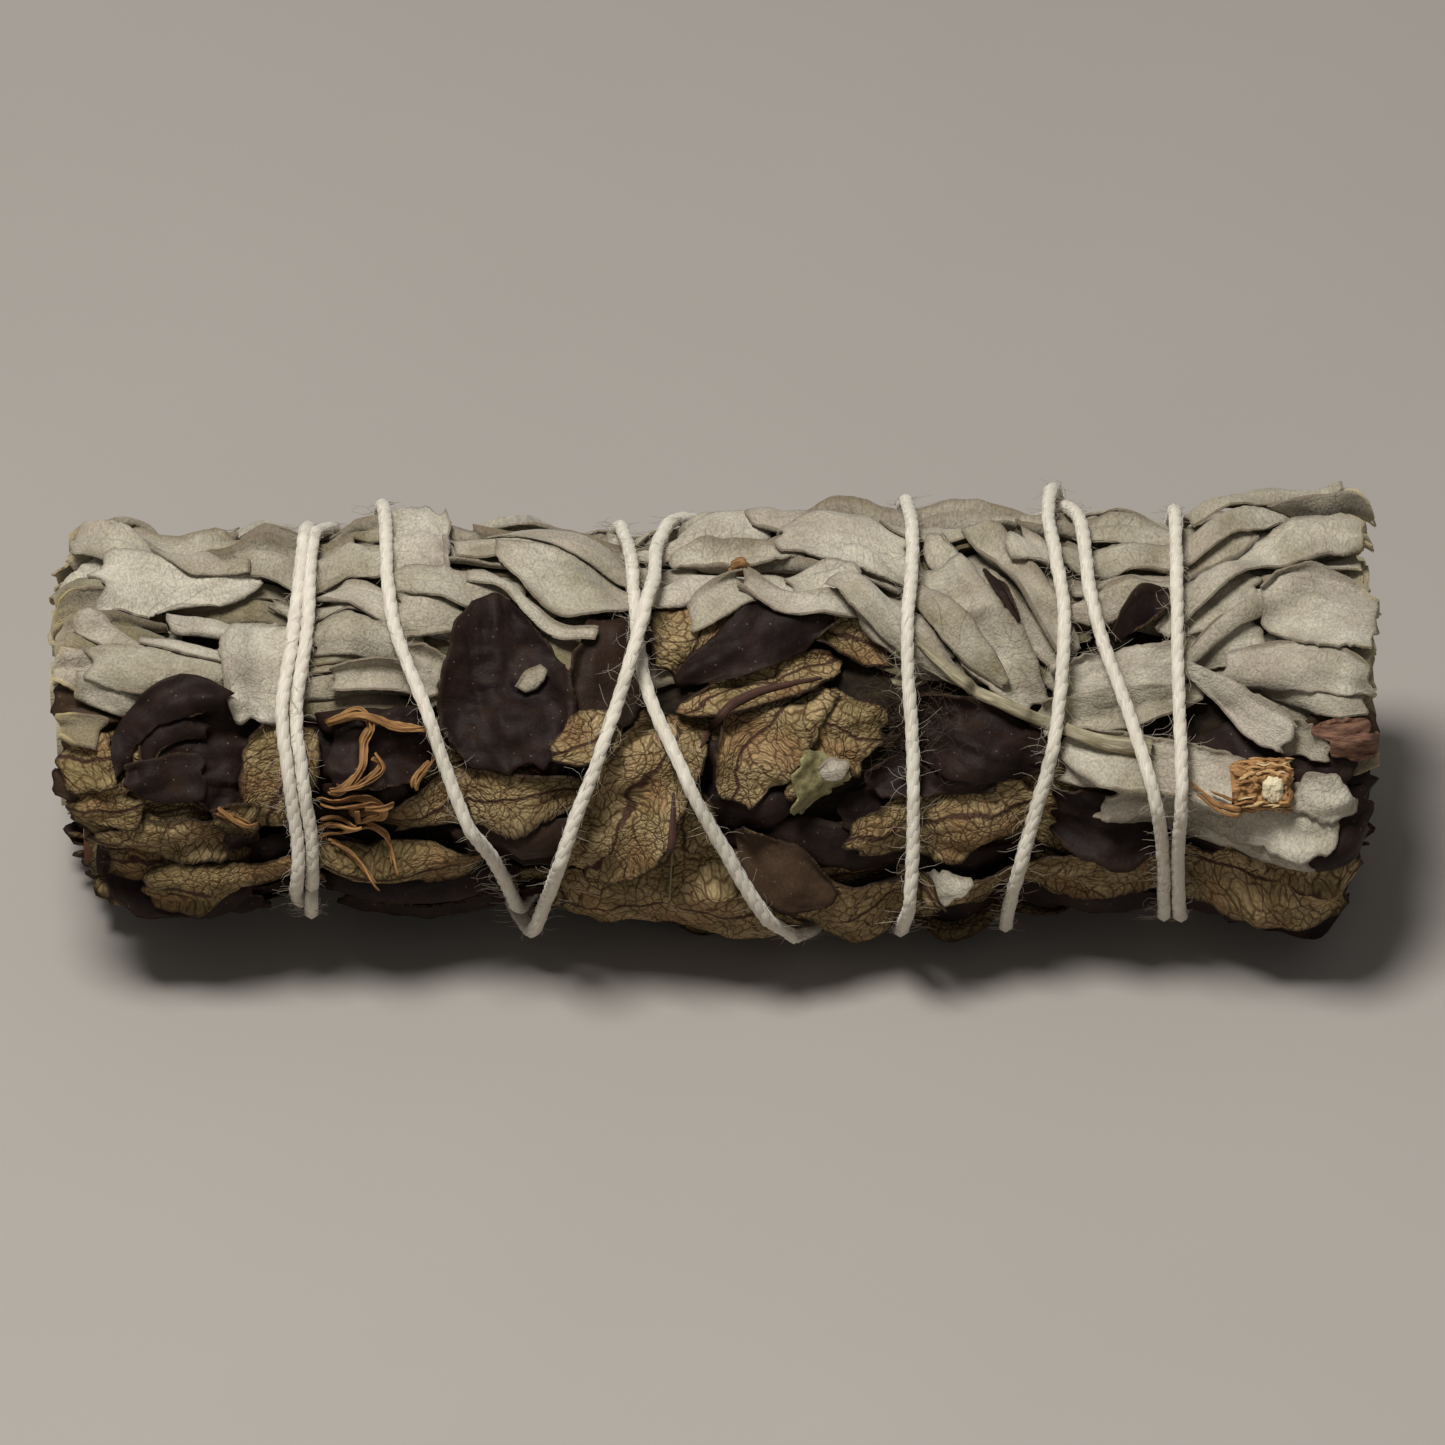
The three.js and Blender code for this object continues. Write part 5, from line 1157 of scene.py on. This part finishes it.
def rolledSheet(sprig, side, level, seed):
    random = np.random.default_rng(seed)
    sign = -1 if side == "left" else 1
    kind, root = sprig[0], sign * rolledLeaf["root"]
    sweep, start = random.uniform(1.0, 1.75) * math.pi, random.uniform(0, 2 * math.pi)
    outline = start + np.linspace(0, sweep, rolledLeaf["outline"])
    reach = sprigReach(sprig, acrossX(outline), root) * level * (1 + 0.1 * np.sin(3 * outline + start))
    reach = np.maximum(reach, stemRadius[kind][0] + 0.35 + level)
    girth = np.sum(np.hypot(np.diff(outline) * reach[1:], np.diff(reach)))
    columns = np.linspace(0, 1, max(8, int(girth / rolledLeaf["step"])))
    turn = np.interp(columns, np.linspace(0, 1, rolledLeaf["outline"]), outline)
    reach = np.interp(turn, outline, reach)
    frayed = random.uniform(0, 1.5) + 0.5 * np.abs(ripple(turn * 2.2, 0.3, seed))
    tip = endAt(side, sprig[1]) - sign * frayed
    share = np.linspace(0, 1, rolledLeaf["rows"])[:, None]
    x = sign * rolledLeaf["from"] * (1 - share) + tip * share
    if sign < 0:
        x, turn, reach = x[:, ::-1], turn[::-1], reach[::-1]
    across = turn * 2.4
    swell = 0.28 * crumple(across / 1.5, x / 4, seed + 3) + 0.18 * ripple(across * 1.5, x / 1.7, seed + 5)
    out = reach + swell + random.uniform(-0.03, 0.05) * (np.abs(x) - 44)
    mid = stemCentre(sprig, root) + out[..., None] * acrossX(turn)
    mid[..., 0] = x + bunch["slide"]
    rim = np.exp(-np.abs(tip - x) / 0.35)
    tone = random.uniform(0.1, 0.7)
    net = float(random.uniform() < 0.6) if kind == "dark" else 0.0
    return closedSheet(mid, rolledLeaf["thick"], x + 3 * seed, across, tone, 0.8 * rim, net)


rolled = {"sage": [], "dark": []}
for k, sprig in enumerate(sprigs):
    for side in ("left", "right"):
        for n in range(rolledLeaf["levels"]):
            level = 0.28 + 0.7 * n / (rolledLeaf["levels"] - 1)
            seed = 9000 + 100 * k + 10 * n + (side == "right")
            rolled[sprig[0]].append(rolledSheet(sprig, side, level, seed))
leafPieces("LeafEnds", rolled)

# Each stem keeps the ends that its node has. Its cut ends have three smaller rings, which are rough.
stem = {"rings": 90, "sides": 20, "ridge": 0.07, "uneven": 0.05, "rough": 0.12,
        "faceRings": (0.86, 0.55, 0.2), "hub": (1, 0.7, 0.3, 0)}
stemCount = {"sage": 0, "dark": 0}
for sprig in sprigs:
    kind = sprig[0]
    stemCount[kind] += 1
    number = stemCount[kind]
    low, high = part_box(f"{kind}_stem_{number}")
    x = np.linspace(low.x / mm, high.x / mm, stem["rings"])[:, None] - bunch["slide"]
    turn = roundTurn(stem["sides"])
    size = np.interp(x, (bunch["cutLeft"], bunch["cutRight"]), stemRadius[kind])
    ridge = stem["ridge"] * np.cos(4 * turn + math.pi)
    ridge = ridge + stem["uneven"] * ripple(x / 3, turn * 3, 71 + number)
    centre = stemCentre(sprig, x[:, 0])[:, None]
    rings = centre + (size * (1 + ridge))[..., None] * acrossX(turn)
    rough = stem["rough"] * np.abs(ripple(turn * 3, 0.5, 5 + number))
    faces = []
    for at, outward in ((0, 1), (-1, -1)):
        face = np.array([centre[at] + (rings[at] - centre[at]) * share for share in stem["faceRings"]])
        face[..., 0] += outward * rough
        faces.append(face)
    stacked = np.concatenate([faces[0][::-1], rings, faces[1]])
    rim, net = np.zeros((len(stacked), 1)), np.zeros((len(stacked), 1))
    net[:4], net[-4:] = 1, 1
    rim[:4, 0], rim[-4:, 0] = stem["hub"], stem["hub"][::-1]
    u = np.concatenate([x[:1]] * 3 + [x] + [x[-1:]] * 3)
    part = closedTube(stacked[:, ::-1], u, turn * size.mean(), rim=rim, net=net)
    stemMaterial = sageBark if kind == "sage" else darkBark
    makePiece(f"{kind}Stem{number}", [part], stemMaterial, [f"{kind}_stem_{number}"])
print("ends and stems made")

# The broken stub: rough fibrous wood with splinters on it. A crumbly pale pith shows in a hole where
# its outer side is broken off.
brokenStub = {
    "from": 2.7, "radius": 1.95, "rings": 80, "sides": 84, "faces": 26.0, "seed": 12,
    "splinters": 170, "splinter": (0.05, 0.2), "long": (0.4, 2.4),
    "holeAt": 5.7, "holeLong": 1.4, "holeWide": 0.62, "holeDeep": 0.85,
    "pithRadius": 1.15, "pithRings": 36, "pithSides": 44, "pithOut": 0.65,
}
stubX, stubLong = stubLow.x / mm, stubHigh.x / mm - stubLow.x / mm
stubMiddle = np.array([(stubLow.y + stubHigh.y) / 2, (stubLow.z + stubHigh.z) / 2]) / mm
random = np.random.default_rng(brokenStub["seed"])


def stubPlace(run, angle, away):  # the angle is from the side that the hole is on
    turned = angle + math.radians(brokenStub["faces"])
    y, z = stubMiddle[0] - away * np.cos(turned), stubMiddle[1] + away * np.sin(turned)
    return np.stack(np.broadcast_arrays(stubX + run, y, z), axis=-1)


def inHole(run, angle):
    off = np.hypot((run - brokenStub["holeAt"]) / brokenStub["holeLong"], angle / brokenStub["holeWide"])
    return 1 - smooth(off + 0.2 * ripple(run * 2.4, angle * 5, 46), 0.7, 1.1)


def splinter():
    angle = random.uniform(-math.pi, math.pi)
    length = random.uniform(*brokenStub["long"])
    middle = random.uniform(brokenStub["from"] + 0.3 * length, stubLong - 0.45 * length)
    run = np.linspace(middle - length / 2, middle + length / 2, 7)
    if inHole(run, angle + 0 * run).max() > 0.3:
        return None
    lean, spin = random.uniform(-0.1, 0.16), random.uniform(-0.2, 0.2)
    away = brokenStub["radius"] * random.uniform(0.92, 1.06) + lean * (run - middle)
    centre = stubPlace(run, angle + spin * (run - middle) + 0.1 * ripple(run * 2, angle * 9, 43), away)
    thick = random.uniform(*brokenStub["splinter"])
    turn = roundTurn(6) + random.uniform(0, 1)
    taper = thick * np.array([0.2, 0.8, 1, 1, 1, 0.7, 0.2]) * (1 + 0.5 * ripple(run * 2.6, 3 * angle, 44))
    rings = centre[:, None] + taper[:, None, None] * (acrossX(turn) * (1, 1, 0.7))
    return closedTube(rings[:, ::-1], run[:, None], turn * thick + 9 * angle, rim=random.uniform(0.0, 0.6),
                      net=float(random.uniform() < 0.5))


run = np.linspace(brokenStub["from"], stubLong, brokenStub["rings"])[:, None]
turn = roundTurn(brokenStub["sides"], -math.pi)
rough = (0.2 * crumple(run * 0.8, turn * 4, 51) + 0.14 * ripple(run * 1.3, turn * 10, 52)
         + 0.12 * ripple(run * 5, turn * 7, 53) + 0.07 * ripple(run * 4, turn * 22, 54))
away = brokenStub["radius"] * 0.88 + rough - brokenStub["holeDeep"] * inHole(run, turn)
away = away * (0.55 + 0.45 * smooth(stubLong - run, 0, 0.45))
endX = run - 0.6 * np.abs(ripple(turn * 2.2, 0.5, 55)) * (1 - smooth(stubLong - run, 0, 1.6))
endX = endX + 0.8 * ripple(turn * 2.6, 0.5, 56) * (1 - smooth(run - brokenStub["from"], 0, 1.6))
stubParts = [closedTube(stubPlace(endX, turn, away), run, turn * brokenStub["radius"], rim=0.25, net=0.3)]
stubParts += [made for made in (splinter() for _ in range(brokenStub["splinters"])) if made]
first, last = brokenStub["holeAt"] - 0.8, stubLong - 0.9
run = np.linspace(first, last, brokenStub["pithRings"])[:, None]
turn = roundTurn(brokenStub["pithSides"])
lumpy = (0.16 * ripple(run * 2.2, turn * 2.5, 47) + 0.12 * ripple(run * 5, turn * 5, 48)
         + 0.06 * ripple(run * 9, turn * 9, 49))
rounded = 0.7 + 0.3 * np.sqrt(smooth(run, first, first + 0.7) * smooth(-run, -last, -last + 0.5))
pithRings = stubPlace(run, turn, brokenStub["pithRadius"] * (1 + lumpy) * rounded)
pithRings += stubPlace(0.0, 0.0, brokenStub["pithOut"]) - stubPlace(0.0, 0.0, 0.0)
stubParts.append(closedTube(pithRings, run, turn * 1.2, rim=0.8, net=1.0))
makePiece("brokenStub", stubParts, brokenWood, ["woody_stub"])

# The imported inside is coloured near black as painted shade, and is seen only as darkness between the
# leaves.
packed = {"rings": 100, "sides": 100, "under": 0.45, "lumps": 0.4}
x = np.linspace(-bunch["packedEnd"], bunch["packedEnd"], packed["rings"])[:, None]
turn = np.linspace(-180, 180, packed["sides"], endpoint=False)[None, :]
lumpy = packed["lumps"] * crumple(x / 2.2, turn / 11, 77)
out = packedRadius(x) - packed["under"] + lumpy - pulledIn(x, turn)
part = closedTube(place(x, turn, out), x, turn * mmPerDegree)
makePiece("packedInside", [part], packedShade, ["sage_leaves", "dark_leaves"])

# The string lies on the highest leaves and runs straight between them. It is laid on what the heap
# has become, so its radius comes from there.
stringRadius = np.zeros(len(stringX))
for dx in (-0.5, 0, 0.5):
    for turn in (-3, 0, 3):
        at = packedRadius(stringX) + skinUnder(stringX + dx, stringAround + turn)
        at = at - sunk(stringX, stringAround) - cottonString["pullDepth"]
        stringRadius = np.maximum(stringRadius, at)
stringRadius += cottonString["thickness"] / 2 - cottonString["bite"]
for _ in range(cottonString["pulls"]):  # each one draws it straighter from leaf to leaf
    straight = (stringRadius[:-2] + stringRadius[2:]) / 2 * math.cos(math.radians(1))
    stringRadius[1:-1] = np.maximum(stringRadius[1:-1], straight)


def humpOver():  # where a later turn crosses an earlier one it rides over it in a long low hump
    rise = np.zeros(len(stringX))
    near = cottonString["crossing"]
    for earlier in range(360, len(stringX), 360):
        k = np.arange(earlier + near, len(stringX) - near)
        before = np.clip(k - earlier, near, None)
        gap = stringX[k] - stringX[before]
        ends = (stringX[k - near] - stringX[before - near]) * (stringX[k + near] - stringX[before + near])
        over = (1 - smooth(np.abs(gap), *cottonString["parted"])) * (ends < 0) * (k - earlier >= near)
        rise[k] = np.maximum(rise[k], over)
    return rise * (cottonString["thickness"] + cottonString["ridesBy"])


stringRadius += humpOver()


def twistedCord(path, outward):
    # Plies that twist round a path of points in mm, each a closed tube.
    run = np.concatenate([[0], np.cumsum(np.linalg.norm(np.diff(path, axis=0), axis=1))])
    at = np.linspace(0, run[-1], int(run[-1] / cottonString["plyStep"]))
    line, up = interpolated(at, run, path), interpolated(at, run, outward)
    forward = unit(np.gradient(line, axis=0))
    up = unit(up - np.sum(up * forward, axis=1, keepdims=True) * forward)
    beside = np.cross(forward, up)
    turn = roundTurn(cottonString["plySides"])
    plies = []
    for ply in range(cottonString["plies"]):
        twist = 2 * math.pi * (at / cottonString["twistMm"] + ply / cottonString["plies"])
        radius = cottonString["plyRadius"] * (1 + 0.12 * ripple(at / 2.1, 0.5, 300 + ply))
        radius = radius * (1 + 0.06 * ripple(at / 0.5, 0.5, 310 + ply))
        leaning = np.cos(twist)[:, None] * up + np.sin(twist)[:, None] * beside
        centre = line + cottonString["plyOffset"] * leaning
        rings = ringsRound(centre, radius[:, None], up, beside, turn)
        rings[..., 2] = np.maximum(rings[..., 2], aboveFloor["skin"])
        plies.append(closedTube(rings[:, ::-1], at[:, None], turn * 0.36))
    return plies


stringLine = place(stringX, stringAround, stringRadius)
stringLine[:, 2] = np.maximum(stringLine[:, 2], aboveFloor["string"])
stringOut = outwardAt(stringX, stringAround, stringRadius)
cords = twistedCord(stringLine, stringOut)

# Its two ends are tied in a small flat knot behind.
knotX, knotAround = cottonString["knot"]
t = np.linspace(0, 2 * math.pi, 240)
loopX = (np.sin(t) + 2 * np.sin(2 * t)) * cottonString["knotSize"]
loopArc = (np.cos(t) - 2 * np.cos(2 * t)) * cottonString["knotSize"]
knotOut = np.interp(knotAround, stringAround[:60][::-1], stringRadius[:60][::-1])
knotOut = knotOut + cottonString["knotOff"] - cottonString["knotOver"] * np.sin(3 * t)
knotLine = place(knotX + loopX, knotAround + loopArc / mmPerDegree, knotOut)
cords += twistedCord(knotLine, np.tile(outwardAt(0, knotAround, 0.0), (len(t), 1)))
makePiece("cottonString", cords, cotton, ["cotton_string"])

# Loose fibres stand off the string and cling to the leaves beside it.
fibre = {"count": 4200, "radius": 0.018, "length": (0.5, 2.4), "points": 4, "off": 0.55}
curl = {"count": 160, "radius": 0.012, "points": 14, "step": 0.31, "at": (15.1, 3), "spread": (1.0, 12)}


def looseFibres():
    random = np.random.default_rng(5)
    strands = []
    for _ in range(fibre["count"]):
        k = random.integers(40, len(stringX) - 40)
        length = random.uniform(*fibre["length"])
        heading = random.uniform(0, 2 * math.pi)
        tangent, outward = unit(stringLine[k + 1] - stringLine[k - 1]), unit(stringOut[k])
        beside = np.cross(tangent, outward)
        side = np.sign(random.uniform(-1, 1))
        path = [stringLine[k] + fibre["off"] * (beside * side + 0.4 * outward)]
        bend = random.uniform(-0.75, 0.75)
        for _ in range(fibre["points"] - 1):
            heading += bend + random.uniform(-0.15, 0.15)
            lift = random.uniform(-0.25, 0.3)
            way = unit(math.cos(heading) * tangent + math.sin(heading) * beside + lift * outward)
            path.append(path[-1] + way * (length / (fibre["points"] - 1)))
        strands.append(np.array(path))
    return strands


def curledFluff():  # a tangle of fine hairs that clings round one turn of the string
    random = np.random.default_rng(6)
    strands = []
    for _ in range(curl["count"]):
        side = 1 if random.uniform() < 0.6 else -1
        x = curl["at"][0] + side * random.gamma(1.6, curl["spread"][0])
        around = random.normal(curl["at"][1], curl["spread"][1])
        heading, bend = random.uniform(0, 2 * math.pi), random.normal(0, 0.22)
        out = packedRadius(x) + skinUnder(np.array([x]), np.array([around]))[0] - pulledIn(x, around) + 0.1
        path = []
        for n in range(curl["points"]):
            path.append(place(x, around, out + 0.5 * abs(math.sin(0.2 * n + 9 * bend))))
            heading += bend + random.uniform(-0.2, 0.2)
            x += curl["step"] * math.cos(heading)
            around += curl["step"] * math.sin(heading) / mmPerDegree
        strands.append(np.array(path))
    return strands


def fibreTubes(strands, radius):
    tubes = []
    turn = roundTurn(3)
    for path in strands:
        forward = unit(np.gradient(path, axis=0))
        up = unit(np.cross(forward, [0.3, 0.5, 0.8]))
        last = len(path) - 1
        thin = radius * np.interp(np.arange(len(path)), (0, last - 1, last), (1, 0.9, 0.5))
        rings = ringsRound(path, thin[:, None], up, np.cross(forward, up), turn)
        rings[..., 2] = np.maximum(rings[..., 2], aboveFloor["fibre"])
        tubes.append(closedTube(rings[:, ::-1], np.arange(len(path))[:, None] * 0.4, turn * 0.1))
    return tubes


makePiece("cottonFibres", fibreTubes(looseFibres(), fibre["radius"]), fluff, [])
makePiece("clingingHair", fibreTubes(curledFluff(), curl["radius"]), hair, [])
print("string made")

cameraLook = {"elevation": 40.0, "lensMm": 400.0, "distance": 1.273, "right": 0.43, "down": 0.03,
              "roll": -0.9}
lift = math.radians(cameraLook["elevation"])
aim = np.array([bunch["slide"], bunch["axisY"], bunch["axisZ"]])
aim += [cameraLook["right"], -cameraLook["down"] * math.sin(lift), -cameraLook["down"] * math.cos(lift)]
camera = bpy.data.objects.new("camera", bpy.data.cameras.new("camera"))
camera.data.lens = cameraLook["lensMm"]
camera.data.clip_start, camera.data.clip_end = 0.01, 20
camera.location = aim * mm + cameraLook["distance"] * np.array([0, -math.cos(lift), math.sin(lift)])
facingDown = mathutils.Matrix.Rotation(math.pi / 2 - lift, 3, "X")
rolledOver = mathutils.Matrix.Rotation(math.radians(cameraLook["roll"]), 3, "Z")
camera.rotation_euler = (facingDown @ rolledOver).to_euler()
bpy.context.scene.collection.objects.link(camera)
bpy.context.scene.camera = camera


def paleFloor():
    # Smooth matt board: even and pale, with a faint mottle.
    look = {"dark": "#a49e98", "light": "#a8a29c", "mottlesPerM": 30.0, "roughness": 0.95}
    material, tree = emptyMaterial("paleMattBoard")
    where = add(tree, "TexCoord")["Object"]
    mottle = add(tree, "TexNoise", {"Vector": where, "Scale": look["mottlesPerM"], "Detail": 3.0})[0]
    colour = add(tree, "Mix", {0: mottle, 6: look["dark"], 7: look["light"]}, **colours)[2]
    surface = {"Base Color": colour, "Roughness": look["roughness"], "Specular IOR Level": 0.1}
    add(tree, "OutputMaterial", {"Surface": add(tree, "BsdfPrincipled", surface)[0]})
    return material


floorHalf = 3  # metres
corners = [(-floorHalf, -floorHalf, 0), (floorHalf, -floorHalf, 0), (floorHalf, floorHalf, 0),
           (-floorHalf, floorHalf, 0)]
floorMesh = bpy.data.meshes.new("floor")
floorMesh.from_pydata(corners, [], [(0, 1, 2, 3)])
floorMesh.materials.append(paleFloor())
floor = bpy.data.objects.new("floor", floorMesh)
bpy.context.scene.collection.objects.link(floor)

lampsAim = (0, 0, 0.016)  # the bunch's middle
roomLight = {"colour": (1.0, 0.985, 0.96, 1), "strength": 0.17}
lamps = {  # place and size in metres, power in watts, colour
    "keyLight": ((-0.14, -0.16, 0.74), 0.26, 6.8, (1.0, 0.985, 0.95)),
    "fillLight": ((0.2, -0.85, 0.1), 0.34, 10.5, (1.0, 0.985, 0.96)),
}
for name, (location, size, power, colour) in lamps.items():
    lamp = bpy.data.lights.new(name, "AREA")
    lamp.shape, lamp.size, lamp.energy, lamp.color = "DISK", size, power, colour
    light = bpy.data.objects.new(name, lamp)
    light.location = location
    x, y, z = np.array(lampsAim) - location
    light.rotation_euler = (math.atan2(math.hypot(x, y), -z), 0, math.atan2(x, -y))
    bpy.context.scene.collection.objects.link(light)
world = bpy.data.worlds.new("studio")
world.use_nodes = True
background = world.node_tree.nodes["Background"].inputs
background["Color"].default_value = roomLight["colour"]
background["Strength"].default_value = roomLight["strength"]
bpy.context.scene.world = world
bpy.context.scene.view_settings.view_transform = "Standard"
